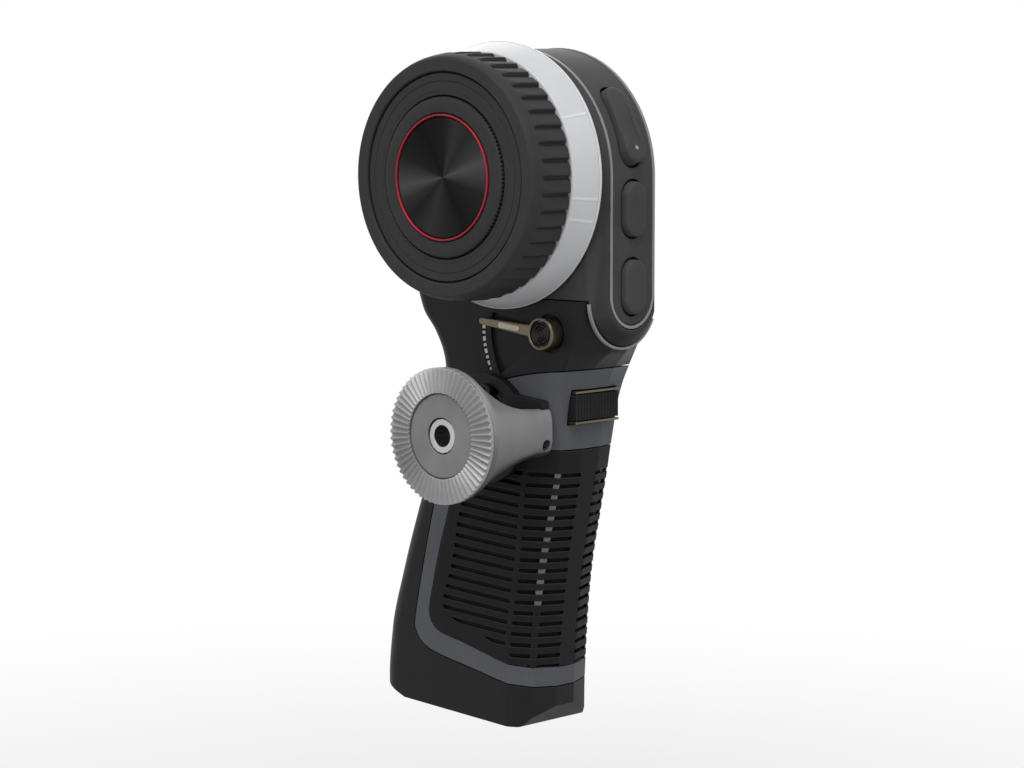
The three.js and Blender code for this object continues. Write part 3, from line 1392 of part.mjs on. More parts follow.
function makeBattery() {
  const b = battery;
  piece("battery_cell", turnedZ([
    [0, -batteryLength], [b.radius, -batteryLength], [b.radius, 0], [b.nubRadius, 0], [b.nubRadius, b.nubHeight],
    [0, b.nubHeight],
  ]), { color: 0x2f6b4f, roughness: 0.5, metalness: 0.1 }, batteryGroup);
  const contactFoot = b.nubHeight + gap;
  const carrierFoot = contactFoot + b.contactThickness + gap;
  const contact = rodZ(b.contactRadius, contactFoot, contactFoot + b.contactThickness);
  piece("top_contact", contact, silver, batteryGroup);
  const carrier = block(-b.carrierHalfWidth, b.carrierHalfWidth, -b.carrierFront, b.carrierBack,
    carrierFoot, carrierFoot + b.carrierThickness);
  piece("contact_carrier", carrier, blackPlastic, batteryGroup);
}

class SpringPath extends THREE.Curve {
  getPoint(share, target = new THREE.Vector3()) {
    const turn = share * door.springTurns * 2 * Math.PI;
    const radius = door.springRadius - door.springWire;
    const rise = door.springWire + share * (door.springHeight - 2 * door.springWire);
    return target.set(radius * Math.cos(turn), radius * Math.sin(turn), rise);
  }
}

function makeDoor() {
  const d = door;
  const plate = block(-d.halfWidth, d.halfWidth, -d.front, d.back, 0, d.thickness);
  const knuckle = placed(rodX(d.knuckleRadius, -d.knuckleHalf, d.knuckleHalf), 0, d.hingeBack, d.hingeUp);
  const web = block(-d.knuckleHalf, d.knuckleHalf, d.back - gap, d.hingeBack, d.hingeUp - d.knuckleRadius + gap,
    d.thickness);
  const pinHole = placed(rodX(d.pinRadius + gap, -d.halfWidth, d.halfWidth), 0, d.hingeBack, d.hingeUp);
  const latchSlot = block(-d.latchHalf - gap, d.latchHalf + gap, -d.front - overrun,
    -d.front + d.latchLength + d.latchTravel + gap, -overrun, d.latchThickness + 2 * gap);
  const rib = block(-d.ribHalf, d.ribHalf, d.ribStart - d.front, d.ribStart - d.front + d.ribWidth, -overrun,
    d.ribWidth);
  const ribs = Array.from({ length: d.ribs }, (_, i) => placed(rib, 0, i * d.ribPitch, 0));
  const swing = Math.hypot(d.hingeBack - d.back - gap, d.hingeUp) + gap;
  const relief = placed(rodX(swing, d.knuckleHalf, d.halfWidth + overrun, medium), 0, d.hingeBack, d.hingeUp);
  const slab = cut(plate, relief, relief.mirror([1, 0, 0]));
  piece("battery_door", cut(join(slab, knuckle, web), pinHole, latchSlot, ...ribs), blackPlastic, baseGroup);
  const pin = rodX(d.pinRadius, -d.pinHalf, d.pinHalf);
  piece("door_pin", placed(pin, 0, d.hingeBack, d.hingeUp), steel, baseGroup);

  const latch = join(
    block(-d.latchHalf, d.latchHalf, -d.front, -d.front + d.latchLength, gap, gap + d.latchThickness),
    block(-d.latchHalf + 2 * gap, d.latchHalf - 2 * gap, -d.front - d.latchTongue, -d.front + gap, gap,
      gap + d.latchThickness),
  );
  const grip = block(-d.latchHalf + 2 * gap, d.latchHalf - 2 * gap, -d.front, -d.front + d.ribWidth, -overrun,
    gap + d.ribWidth);
  const grips = Array.from({ length: d.latchGrips }, (_, i) => placed(grip, 0, (i + 1) * d.gripPitch, 0));
  piece("door_latch", cut(latch, ...grips), podPlastic, baseGroup);

  const wire = new THREE.Shape();
  wire.absarc(0, 0, d.springWire, 0, 2 * Math.PI, false);
  const coil = solid(new THREE.ExtrudeGeometry(wire, {
    steps: Math.round(d.springTurns * d.springFacets),
    curveSegments: d.wireFacets,
    bevelEnabled: false,
    extrudePath: new SpringPath(),
  }));
  const centre = doorDrop - batteryTopDrop;
  const shift = battery.topY + Math.tan(battery.tilt) * centre - d.y;
  piece("door_spring", placed(coil, 0, shift, d.thickness + gap), silver, baseGroup);
}

makeWheel();
makePod();
makeHandle();
makeMount();
makeBattery();
makeDoor();

export default followFocus;
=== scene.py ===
from math import atan2, copysign, cos, dist, pi, radians, sin, sqrt, tan, tanh

import bmesh
import bpy
import numpy as np
from mathutils import Matrix, Vector


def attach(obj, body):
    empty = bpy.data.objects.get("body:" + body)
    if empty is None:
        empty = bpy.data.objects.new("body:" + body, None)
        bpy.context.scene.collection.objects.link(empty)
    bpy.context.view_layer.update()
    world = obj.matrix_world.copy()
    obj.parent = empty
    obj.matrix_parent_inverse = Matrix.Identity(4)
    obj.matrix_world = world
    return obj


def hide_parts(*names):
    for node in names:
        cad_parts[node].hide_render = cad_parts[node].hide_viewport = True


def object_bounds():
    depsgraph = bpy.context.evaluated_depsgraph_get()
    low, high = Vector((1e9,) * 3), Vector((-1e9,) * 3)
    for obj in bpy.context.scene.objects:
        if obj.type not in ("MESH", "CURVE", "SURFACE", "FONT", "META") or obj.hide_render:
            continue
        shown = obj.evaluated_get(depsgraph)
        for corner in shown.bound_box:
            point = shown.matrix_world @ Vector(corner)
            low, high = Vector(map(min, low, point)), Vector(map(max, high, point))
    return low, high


# Looks for a hand-held wireless focus controller. Shapes are made in millimetres round the
# wheel's axis, as in the CAD source, and moved into the frame at the end.

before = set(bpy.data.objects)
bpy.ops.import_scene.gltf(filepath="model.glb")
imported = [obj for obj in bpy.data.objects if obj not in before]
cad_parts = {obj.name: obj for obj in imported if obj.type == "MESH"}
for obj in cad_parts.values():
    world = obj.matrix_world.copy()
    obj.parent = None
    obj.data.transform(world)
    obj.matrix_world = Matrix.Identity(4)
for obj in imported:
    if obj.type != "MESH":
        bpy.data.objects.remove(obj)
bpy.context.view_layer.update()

MM = 0.001
WHEEL_AT = (40.0, 5.5, 59.2)
TO_ROW = Matrix.Scale(MM, 4) @ Matrix.Translation(WHEEL_AT)
GAP = 0.3
FLOOR_DROP = 36.0
FAR = 60.0
DEEP = -200.0
SHARP = radians(30)

# Sizes shared with the CAD source, in millimetres
POD_HALF = 12.0
POD_RIM = 30.0
POD_BEVEL = 4.0
POD_BOTTOM = 28.0
POD_SEAT = 28.5
POD_NOSE_STEP = 0.4
POD_NOSE_DEPTH = 3.7
POD_WALL = 2.0
NOSE_EDGE = [
    (-60, 8.4), (-30, 8.4), (-29.88, 8.75), (-29.6, 9.2), (-27.85, 11.3), (-27.65, 11.5),
    (-27.3, 11.62), (-27, 12), (60, 12),
]
COVER_SCREWS = [(-19.6, -22.4), (19.6, -22.4)]
COVER_SPLIT = 8.0
PANEL_HALF = 6.9
PANEL_THICK = 1.2
PANEL_INSET = 0.2
BEZEL_WIDTH = 0.7
BEZEL_THICK = 1.5
PANEL_BOTTOM = 27.5
PANEL_END = radians(60)
KEY_HALF = 3.5
KEY_PROUD = 1.7
KEY_THICK = 2.6
KEY_MOAT = 0.6
ROCKER_MOAT = 0.65
KEY_UPPER = (-1.0, -13.9)
KEY_LOWER = (-19.2, -32.0)
ROCKER_TILT = radians(24)
ROCKER_HALF = 9.6
ROCKER_PROUD = 2.0
NECK_FRONT = -(POD_RIM - POD_NOSE_DEPTH)
BEZEL_HALF = PANEL_HALF + GAP + BEZEL_WIDTH
KEY_FRONT = -(POD_RIM - PANEL_INSET + KEY_PROUD)
HANDLE_TOP = 28.8
HANDLE_HEIGHT = 103.2
HANDLE_DEPTH = 50.0
HANDLE_HALF = 13.4
SKIN = 1.5
SPLIT_DROP = 52.0
HEEL = 40.1
SEAM = 0.06
DOOR_Y = 14.0
DOOR_DROP = 130.5
DOOR_RAKE = radians(4.3)
MOUNT_AT = (-5.5, -59.2)
MOUNT_REACH = 40.0
MOUNT_RADIUS = 15.9
LEVER_AT = (-14.7, -36.6)
LEVER_LIFT = radians(5.5)
TRIGGER_DROP = 54.3
TRIGGER_FRONT = 19.3
TRIGGER_HALF = 7.75
TRIGGER_HALF_HEIGHT = 3.9

# The grip: a share of its height, from the top down, with a share of its depth or half width
FRONT = [
    (0, -0.52), (0.112, -0.52), (0.137, -0.47), (0.165, -0.418), (0.205, -0.38), (0.25, -0.358),
    (0.38, -0.336), (0.5, -0.292), (0.62, -0.248), (0.74, -0.217), (0.82, -0.2), (0.92, -0.186),
    (1, -0.182),
]
CORNER = [
    (0, -0.518), (0.08, -0.462), (0.157, -0.386), (0.205, -0.354), (0.25, -0.337), (0.3, -0.326),
    (0.38, -0.305), (0.5, -0.256), (0.62, -0.204), (0.74, -0.17), (0.82, -0.156), (0.92, -0.143),
    (1, -0.14),
]
CORNER_WIDTH = [
    (0, 0.896), (0.137, 0.896), (0.165, 0.87), (0.205, 0.81), (0.25, 0.755), (0.31, 0.705),
    (0.38, 0.665), (0.62, 0.68), (0.82, 0.71), (1, 0.72),
]
SIDE_START = [
    (0, -0.505), (0.08, -0.45), (0.157, -0.372), (0.205, -0.32), (0.25, -0.27), (0.31, -0.22),
    (0.41, -0.165), (0.62, -0.118), (0.82, -0.06), (1, -0.05),
]
BACK = [
    (0, 0.6), (0.044, 0.566), (0.088, 0.494), (0.128, 0.45), (0.167, 0.424), (0.225, 0.41),
    (0.302, 0.436), (0.4, 0.51), (0.503, 0.59), (0.67, 0.704), (0.814, 0.782), (0.94, 0.803),
    (1, 0.8),
]
WIDTH = [
    (0, 0.896), (0.128, 0.896), (0.178, 0.933), (0.225, 0.963), (0.302, 0.985), (0.5, 0.993),
    (0.8, 1), (0.94, 1.012), (1, 1),
]
BACK_RADIUS = [(0, 0.3), (0.1, 0.33), (0.3, 0.43), (1, 0.45)]
FLAT = [
    (0, 0.84), (0.04, 0.78), (0.08, 0.6), (0.112, 0.25), (0.137, 0.3), (0.25, 0.4), (0.4, 0.34),
    (1, 0.32),
]

# Loops on the side of the grip: shares of its depth and of its height
TRIM_OUTER = [
    (-0.6, 0.158), (-0.38, 0.162), (-0.16, 0.175), (0.02, 0.198), (0.18, 0.244), (0.286, 0.322),
    (0.36, 0.399), (0.424, 0.491), (0.494, 0.629), (0.556, 0.772), (0.548, 0.808), (0.5, 0.834),
    (0.4, 0.852), (0.18, 0.873), (-0.2, 0.908), (-0.6, 0.935),
]
TRIM_INNER = [
    (-0.6, 0.352), (-0.33, 0.345), (-0.2, 0.35), (0.04, 0.386), (0.22, 0.43), (0.31, 0.472),
    (0.35, 0.53), (0.394, 0.597), (0.442, 0.691), (0.466, 0.75), (0.448, 0.782), (0.385, 0.802),
    (0.23, 0.818), (-0.012, 0.847), (-0.2, 0.864), (-0.6, 0.89),
]
GROOVES = [
    (-0.6, 0.372), (-0.1, 0.378), (0.1, 0.424), (0.22, 0.466), (0.272, 0.52), (0.3, 0.6),
    (0.335, 0.66), (0.372, 0.72), (0.36, 0.748), (0.29, 0.768), (0.08, 0.799), (-0.06, 0.832),
    (-0.2, 0.866), (-0.6, 0.876),
]
GROOVE_COUNT = 19
GROOVE_PITCH = 2.62
GROOVE_FIRST = 69.6
GROOVE_HEIGHT = 1.05
GROOVE_DEPTH = 1.25
GROOVE_RAKE = radians(4)
GROOVE_BRIDGE = 1.1
GROOVE_PLAIN = 2.4
GROOVE_END = 0.85
GLINT_LOW = 103.0

# The wheel: a distance out from the pod with a radius, and the rib's rise over its pitch
TYRE_ROOT = 27.95
TYRE_RISE = 1.05
TYRE_FLOOR = [(8.5, 27.95), (16.8, 27.95), (18.3, 28.5), (20.9, 28.6)]
TYRE_RIB = [
    (0, 0.2), (0.06, 0.42), (0.4, 0.72), (0.72, 1), (0.78, 0.9), (0.83, 0), (0.94, 0), (1, 0.2),
]
TYRE_CROWN = [
    (8.5, 28.6), (8.9, 29), (14.6, 29), (16.6, 28.84), (18.3, 28.58), (19.5, 28.3),
    (20.3, 27.98), (20.7, 27.7), (20.9, 27.4),
]
BOSS_EDGE = [(18.6, 18.7), (20.55, 18.7), (20.8, 18.45), (21, 18.0), (21.15, 17.4), (21.2, 17.0)]
BOSS_KNURL = 0.32


# Flat outlines


def smooth_value(table, at):
    """A curve through the table's points that doesn't overshoot them."""
    x = np.array([row[0] for row in table], float)
    y = np.array([row[1] for row in table], float)
    step, rise = np.diff(x), np.diff(y)
    slope = rise / step
    tangent = np.zeros(len(x))
    for i in range(1, len(x) - 1):
        if slope[i - 1] * slope[i] > 0:
            tangent[i] = 2 / (1 / slope[i - 1] + 1 / slope[i])
    tangent[0], tangent[-1] = slope[0], slope[-1]
    at = min(max(at, x[0]), x[-1])
    i = min(int(np.searchsorted(x, at, "right")) - 1, len(step) - 1)
    t = (at - x[i]) / step[i]
    return (
        (1 + 2 * t) * (1 - t) ** 2 * y[i]
        + t * (1 - t) ** 2 * step[i] * tangent[i]
        + t * t * (3 - 2 * t) * y[i + 1]
        + t * t * (t - 1) * step[i] * tangent[i + 1]
    )


def arc(centre, radius, start, end, steps):
    turns = np.linspace(start, end, steps + 1)
    return [(centre[0] + radius * cos(t), centre[1] + radius * sin(t)) for t in turns]


def circle(radius, steps):
    return arc((0, 0), radius, 0, 2 * pi, steps)[:-1]


def shifted(outline, at):
    return [(a + at[0], b + at[1]) for a, b in outline]


def filleted(points, radii, steps=4, closed=True):
    """The polygon with each corner rounded by its radius, always by the same count of points."""
    made = []
    count = len(points)
    for i, radius in enumerate(radii):
        here = Vector(points[i])
        if not closed and i in (0, count - 1):
            made.append(tuple(here))
            continue
        before, after = Vector(points[i - 1]) - here, Vector(points[(i + 1) % count]) - here
        room = 0.45 * min(before.length, after.length)
        if before.length < 1e-6 or after.length < 1e-6:
            made += [tuple(here)] * (steps + 1)
            continue
        before.normalize()
        after.normalize()
        angle = before.angle(after)
        if angle > pi - 1e-3 or radius <= 0:
            made += [tuple(here)] * (steps + 1) if radius > 0 else [tuple(here)]
            continue
        run = min(radius / tan(angle / 2), room)
        for k in range(steps + 1):
            t = k / steps
            a, b, c = here + before * run, here, here + after * run
            made.append(tuple(a * (1 - t) ** 2 + b * 2 * t * (1 - t) + c * t * t))
    return made


def round_rect(a0, a1, b0, b1, radius, steps=8):
    left, right, low, high = a0 + radius, a1 - radius, b0 + radius, b1 - radius
    points = []
    for i, centre in enumerate([(right, low), (right, high), (left, high), (left, low)]):
        points += arc(centre, radius, (i - 1) * pi / 2, i * pi / 2, steps)
    return points


def capsule(half, top, bottom, steps=16):
    upper = arc((0, top - half), half, 0, pi, steps)
    return upper + arc((0, bottom + half), half, pi, 2 * pi, steps)


def slotted(start, end, radius):
    """The outline of a hole drawn out from one point to another."""
    turn = atan2(end[1] - start[1], end[0] - start[0])
    far = arc(end, radius, turn - pi / 2, turn + pi / 2, 12)
    return far + arc(start, radius, turn + pi / 2, turn + 1.5 * pi, 12)


def flat_capsule(half, half_height):
    reach = half - half_height
    return slotted((-reach, 0), (reach, 0), half_height)


def ring_sector(inner, outer, start, end, steps=48):
    inside = arc((0, 0), inner, end, start, steps) if inner > 0 else [(0, 0)]
    return arc((0, 0), outer, start, end, steps) + inside


def spline(points, steps=8):
    """A Catmull-Rom curve through the points."""
    made = []
    for i in range(len(points) - 1):
        p = [Vector(points[min(max(i + k, 0), len(points) - 1)]) for k in (-1, 0, 1, 2)]
        for k in range(steps):
            t = k / steps
            a = (p[2] - p[0]) * 0.5
            b = (p[3] - p[1]) * 0.5
            made.append(
                p[1] * (2 * t**3 - 3 * t**2 + 1) + a * (t**3 - 2 * t**2 + t)
                + p[2] * (3 * t**2 - 2 * t**3) + b * (t**3 - t**2)
            )
    return [tuple(v) for v in made] + [tuple(points[-1])]


def grown(points, distance):
    """An open outline moved to its left by a distance."""
    made = []
    for i, point in enumerate(points):
        along = Vector(points[min(i + 1, len(points) - 1)]) - Vector(points[max(i - 1, 0)])
        along.normalize()
        made.append((point[0] - along.y * distance, point[1] + along.x * distance))
    return made


# Solids, each an object in millimetres


def linked(name, data):
    made = bpy.data.objects.new(name, data)
    bpy.context.scene.collection.objects.link(made)
    return made


def solid(vertices, faces):
    mesh = bpy.data.meshes.new("solid")
    mesh.from_pydata([tuple(map(float, v)) for v in vertices], [], faces)
    work = bmesh.new()
    work.from_mesh(mesh)
    bmesh.ops.remove_doubles(work, verts=work.verts, dist=1e-4)
    bmesh.ops.recalc_face_normals(work, faces=work.faces)
    work.to_mesh(mesh)
    work.free()
    return linked("solid", mesh)


def loft(rings, closed_path=False):
    """A closed body through rings of the same count of points."""
    count, last = len(rings[0]), len(rings) - 1
    vertices = [point for ring in rings for point in ring]
    faces = []
    for i, j in [(i, i + 1) for i in range(last)] + ([(last, 0)] if closed_path else []):
        for k in range(count):
            n = (k + 1) % count
            faces.append((i * count + k, i * count + n, j * count + n, j * count + k))
    if not closed_path:
        faces.append(tuple(range(count)))
        faces.append(tuple(last * count + k for k in reversed(range(count))))
    return solid(vertices, faces)


def along_x(outline, start, end, at=(0, 0)):
    return loft([[(x, y + at[0], z + at[1]) for y, z in outline] for x in (start, end)])


def along_y(outline, start, end):
    return loft([[(x, y, z) for x, z in outline] for y in (start, end)])


def lathe_x(profile, steps=160):
    """A closed profile of (radius, x) turned round the X axis."""
    rings = []
    for k in range(steps):
        turn = 2 * pi * k / steps
        rings.append([(x, r * cos(turn), r * sin(turn)) for r, x in profile])
    return loft(rings, closed_path=True)


def rod_x(radius, start, end, at=(0, 0), steps=48):
    return along_x(circle(radius, steps), start, end, at)


def rod_z(radius, low, high, y):
    return loft([[(a, b + y, z) for a, b in circle(radius, 32)] for z in (low, high)])


def block(x0, x1, y0, y1, z0, z1):
    return along_x([(y0, z0), (y1, z0), (y1, z1), (y0, z1)], x0, x1)


def drop(*tools):
    for tool in tools:
        bpy.data.objects.remove(tool)


def boolean(operation):
    """Makes the function that applies the operation with one tool after the other."""

    def apply(base, *tools, keep=False):
        for tool in tools:
            step = base.modifiers.new("step", "BOOLEAN")
            step.operation, step.solver, step.object = operation, "MANIFOLD", tool
            graph = bpy.context.evaluated_depsgraph_get()
            mesh = bpy.data.meshes.new_from_object(base.evaluated_get(graph))
            base.modifiers.clear()
            base.data = mesh
        if not keep:
            drop(*tools)
        return base

    return apply


cut, meet, join = boolean("DIFFERENCE"), boolean("INTERSECT"), boolean("UNION")


def copy_of(obj):
    return linked(obj.name, obj.data.copy())


def turned(obj, angle, axis):
    obj.data.transform(Matrix.Rotation(angle, 4, axis))
    return obj


def moved(obj, x, y, z):
    obj.data.transform(Matrix.Translation((x, y, z)))
    return obj


def dress(mesh, look):
    """Gives a mesh its material and smooth faces."""
    mesh.materials.clear()
    mesh.materials.append(MATERIALS[look])
    mesh.polygons.foreach_set("use_smooth", [True] * len(mesh.polygons))


def mark_sharp(mesh):
    work = bmesh.new()
    work.from_mesh(mesh)
    for edge in work.edges:
        edge.smooth = len(edge.link_faces) == 2 and edge.calc_face_angle(0) < SHARP
    work.to_mesh(mesh)
    work.free()


def piece(obj, name, look, body, slot, *nodes):
    """Names a finished shape, moves it into the row frame and ties it to its body."""
    obj.name = obj.data.name = name
    obj.data.transform(TO_ROW)
    dress(obj.data, look)
    mark_sharp(obj.data)
    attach(obj, body)
    if nodes:
        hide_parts(*nodes)


# Materials


def bare_tree(owner):
    owner.use_nodes = True
    owner.node_tree.nodes.clear()
    return owner.node_tree


def node(tree, kind, settings=None, **inputs):
    """A shader node, with a constant or the output that feeds it for each input, by name or by
    an underscore and a number."""
    made = tree.nodes.new("ShaderNode" + kind)
    for key, value in (settings or {}).items():
        setattr(made, key, value)
    for key, value in inputs.items():
        socket = made.inputs[int(key[1:]) if key[0] == "_" else key.replace("_", " ")]
        if isinstance(value, bpy.types.NodeSocket):
            tree.links.new(value, socket)
        else:
            socket.default_value = value
    return made


def spread(tree, value, low, high, to_low=0.0, to_high=1.0, kind="LINEAR"):
    """The value moved from one range to another and held inside it."""
    settings = {"interpolation_type": kind}
    ranges = {"From_Min": low, "From_Max": high, "To_Min": to_low, "To_Max": to_high}
    return node(tree, "MapRange", settings, Value=value, **ranges).outputs["Result"]


def blend(tree, kind, factor, a, b):
    settings = {"data_type": "RGBA", "blend_type": kind}
    return node(tree, "Mix", settings, Factor=factor, A=a, B=b).outputs["Result"]


def vector_math(tree, operation, a, b):
    return node(tree, "VectorMath", {"operation": operation}, _0=a, _1=b).outputs


def maths(tree, operation, a, b):
    return node(tree, "Math", {"operation": operation}, _0=a, _1=b).outputs["Value"]


def opaque(colour):
    return (*colour, 1)


def surface(name, colour, roughness, metallic=0.0, specular=0.5, grain=1500.0, bump=0.06,
            mottle=0.12, edge_wear_and_highlight=0.25, edge=0.25, under=1.0):
    """A finish with fine grain, slow changes of tone and gloss, edges lighter as rubbed wear and
    painted highlight and, where under is below one, painted shade on faces that look down."""
    material = bpy.data.materials.new(name)
    tree = bare_tree(material)
    place = node(tree, "TexCoord").outputs["Object"]
    slow = node(tree, "TexNoise", Vector=place, Scale=90.0, Detail=4.0, Roughness=0.6)
    fine = node(tree, "TexNoise", Vector=place, Scale=grain, Detail=3.0, Roughness=0.55)
    slow, fine = slow.outputs["Fac"], fine.outputs["Fac"]

    tone = spread(tree, slow, 0.3, 0.7, 1 - mottle, 1 + mottle)
    base = blend(tree, "MULTIPLY", 1.0, opaque(colour), tone)
    soft = node(tree, "Bevel", {"samples": 4}, Radius=edge * MM).outputs["Normal"]
    sharp = node(tree, "NewGeometry").outputs["Normal"]
    # Edges made lighter: partly rubbed wear, partly a painted highlight where edges catch the
    # light.
    rub_and_highlight = spread(tree, vector_math(tree, "DOT_PRODUCT", soft, sharp)["Value"], 0.99, 0.8, 0, edge_wear_and_highlight)
    worn_and_highlit = blend(tree, "MIX", rub_and_highlight, base, opaque(min(1.0, c * 1.8 + 0.03) for c in colour))
    # Painted shade: faces that look down are darkened by the under factor.
    upright = node(tree, "SeparateXYZ", Vector=sharp).outputs["Z"]
    colours = blend(tree, "MULTIPLY", 1.0, worn_and_highlit, spread(tree, upright, -0.75, 0.15, under))

    gloss = spread(tree, slow, 0, 1, max(roughness - 0.08, 0.02), min(roughness + 0.08, 1.0))
    relief = node(tree, "Bump", Strength=bump, Distance=0.1 * MM, Height=fine, Normal=soft)
    shader = node(tree, "BsdfPrincipled", Base_Color=colours, Metallic=metallic, Roughness=gloss,
                  Specular_IOR_Level=specular, Normal=relief.outputs["Normal"])
    node(tree, "OutputMaterial", Surface=shader.outputs["BSDF"])
    return material


# Shares of a turn round the wheel, each with its share of painted highlight
SPUN_HIGHLIGHTS = [
    (0.0, 0.55), (0.045, 0.15), (0.16, 0.02), (0.25, 0.22), (0.306, 0.4), (0.38, 0.15),
    (0.43, 0.4), (0.472, 1.0), (0.515, 0.5), (0.56, 0.15), (0.667, 0.02), (0.76, 0.1),
    (0.806, 0.4), (0.86, 0.25), (0.92, 0.5), (0.955, 1.0), (1.0, 0.55),
]


def spun_metal(name, colour, roughness):
    """Metal turned on a lathe, with anisotropic gloss and wedges of painted highlight round the
    wheel's axis.
    """
    material = surface(name, colour, roughness, metallic=1.0, bump=0.0, edge_wear_and_highlight=0.0, mottle=0.04)
    tree = material.node_tree
    shader = next(n for n in tree.nodes if n.type == "BSDF_PRINCIPLED")
    place = node(tree, "TexCoord").outputs["Object"]
    centre = (0.0, WHEEL_AT[1] * MM, WHEEL_AT[2] * MM)
    middle = vector_math(tree, "SUBTRACT", place, centre)["Vector"]
    tangent = vector_math(tree, "CROSS_PRODUCT", middle, (1.0, 0.0, 0.0))["Vector"]
    tree.links.new(tangent, shader.inputs["Tangent"])
    shader.inputs["Anisotropic"].default_value = 0.9
    split = node(tree, "SeparateXYZ", Vector=middle).outputs
    # Painted highlight: light and dark wedges painted into the colour by the turn round the axis.
    turn = maths(tree, "ARCTAN2", split["Z"], split["Y"])
    highlight_ramp = node(tree, "ValToRGB", Fac=spread(tree, turn, -pi, pi))
    ramp = highlight_ramp.color_ramp.elements
    for position, value in SPUN_HIGHLIGHTS:
        stop = ramp.new(position) if 0 < position < 1 else ramp[-int(position)]
        stop.color = opaque([value] * 3)
    dark, light = (opaque(min(c * gain, 1) for c in colour) for gain in (0.25, 3.2))
    painted_wedges = blend(tree, "MIX", highlight_ramp.outputs["Color"], dark, light)
    tree.links.new(painted_wedges, shader.inputs["Base Color"])
    return material


# A name, colour and roughness, some with metal and specular, then what else isn't usual
MATERIALS = {
    "tyre": surface("tyre_rubber", (0.034, 0.034, 0.0345), 0.62, specular=0.14, grain=2600,
                    bump=0.25, edge=0.2),
    "satin": surface("satin_black", (0.03, 0.0295, 0.0295), 0.55, specular=0.14, grain=3200,
                     bump=0.12, edge=0.2),
    "neck": surface("neck_black", (0.0125,) * 3, 0.46, specular=0.14, grain=3000, bump=0.12,
                    edge_wear_and_highlight=0.4),
    # The pod has painted shade on its faces that look down (under below one).
    "pod": surface("pod_grey", (0.06,) * 3, 0.55, specular=0.07, grain=3000, bump=0.12,
                   edge=0.35, under=0.3),
    "panel": surface("panel_grey", (0.064,) * 3, 0.55, specular=0.07, grain=3000, bump=0.12),
    "key": surface("key_rubber", (0.064,) * 3, 0.6, specular=0.07, grain=2800, bump=0.2),
    "rubber": surface("grip_rubber", (0.0105,) * 3, 0.6, specular=0.12, grain=2000, bump=0.35,
                      edge_wear_and_highlight=1.0, edge=0.4),
    "blue": surface("blue_grey", (0.094, 0.1, 0.112), 0.5, specular=0.14, grain=2800, bump=0.15,
                    mottle=0.06),
    "ring": surface("ring_grey", (0.6, 0.605, 0.625), 0.34, specular=0.3, grain=2400, bump=0.04,
                    mottle=0.03, edge_wear_and_highlight=0.5),
    "lip": surface("ring_lip", (0.69, 0.695, 0.71), 0.3, specular=0.3, grain=2400, bump=0.03,
                   mottle=0.03, edge_wear_and_highlight=0.5),
    # Painted glint: a lighter colour for slot ends where the light catches them.
    "glint": surface("slot_gloss_painted_glint", (0.11,) * 3, 0.3, grain=2000, bump=0.1, edge_wear_and_highlight=0.6),
    "red": surface("red_metal", (0.3, 0.022, 0.035), 0.4, 0.4, 0.2, bump=0.05, edge_wear_and_highlight=0.2),
    "silver": surface("silver_trim", (0.26, 0.26, 0.265), 0.42, 0.2, 0.2, bump=0.05, edge_wear_and_highlight=0.2),
    "steel": surface("steel", (0.45, 0.45, 0.46), 0.3, 1.0, bump=0.08, edge_wear_and_highlight=0.2),
    # The anodised grey has strong painted shade on its faces that look down (under below one).
    "grey": surface("grey_anodised", (0.235, 0.235, 0.237), 0.4, 0.1, 0.3, grain=3400,
                    bump=0.15, edge_wear_and_highlight=0.5, under=0.12),
    "teeth": surface("machined_teeth", (0.31, 0.31, 0.315), 0.46, 0.4, bump=0.08, edge_wear_and_highlight=0.6),
    "gold": surface("bronze_gold", (0.14, 0.118, 0.078), 0.32, 0.9, edge_wear_and_highlight=1.0, edge=0.2),
    "cream": surface("cream_painted_highlight", (0.5, 0.46, 0.36), 0.35, 0.3, bump=0.04, edge_wear_and_highlight=0.2),
    "dark_cap": surface("dark_cap", (0.012, 0.012, 0.0125), 0.25, 0.8, bump=0.03, edge_wear_and_highlight=0.1),
    "white": surface("white_paint", (0.75,) * 3, 0.5, specular=0.2, bump=0.03, edge_wear_and_highlight=0.0,
                     mottle=0.04),
    "lamp": surface("lamp_window", (0.34,) * 3, 0.3, specular=0.4, bump=0.0, edge_wear_and_highlight=0.0,
                    mottle=0.03),
    "board": surface("circuit", (0.012, 0.05, 0.026), 0.5, grain=900, bump=0.2, edge_wear_and_highlight=0.1),
    "gilt": surface("gilt_contact", (0.75, 0.55, 0.2), 0.3, 1.0, bump=0.05),
    "cell": surface("cell_wrap", (0.03, 0.17, 0.09), 0.4, specular=0.4, bump=0.04, mottle=0.06),
    "glass": surface("dark_glass", (0.004, 0.004, 0.005), 0.06, bump=0.0, mottle=0.02, edge_wear_and_highlight=0.05),
    "spun": spun_metal("spun_black", (0.02, 0.02, 0.0205), 0.3),
}

NODE_LOOKS = {
    "satin": "wheel_core contact_carrier",
    "steel": "hub_nut wheel_shaft encoder_magnet cover_screw_front cover_screw_back bearing_outer "
             "bearing_inner charging_socket lever_shaft thread_insert door_pin shell_screw_top "
             "shell_screw_middle shell_screw_back neck_screw_front neck_screw_back",
    "dark_cap": "rocker_pin mount_screw_upper",
    "board": "rocker_board switch_board main_board",
    "glass": "display_module",
    "grey": "bearing_housing",
    "rubber": "wheel_seal",
    "cell": "battery_cell",
    "gilt": "top_contact door_spring",
    "neck": "battery_door trigger_housing",
    "pod": "door_latch",
}


def dress_nodes():
    """Gives every CAD node that stays its finish and softened edges."""
    for look, names in NODE_LOOKS.items():
        for name in names.split():
            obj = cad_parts[name]
            dress(obj.data, look)
            obj.modifiers.new("edges", "EDGE_SPLIT").split_angle = radians(35)


# Wheel: distances out from the pod's side


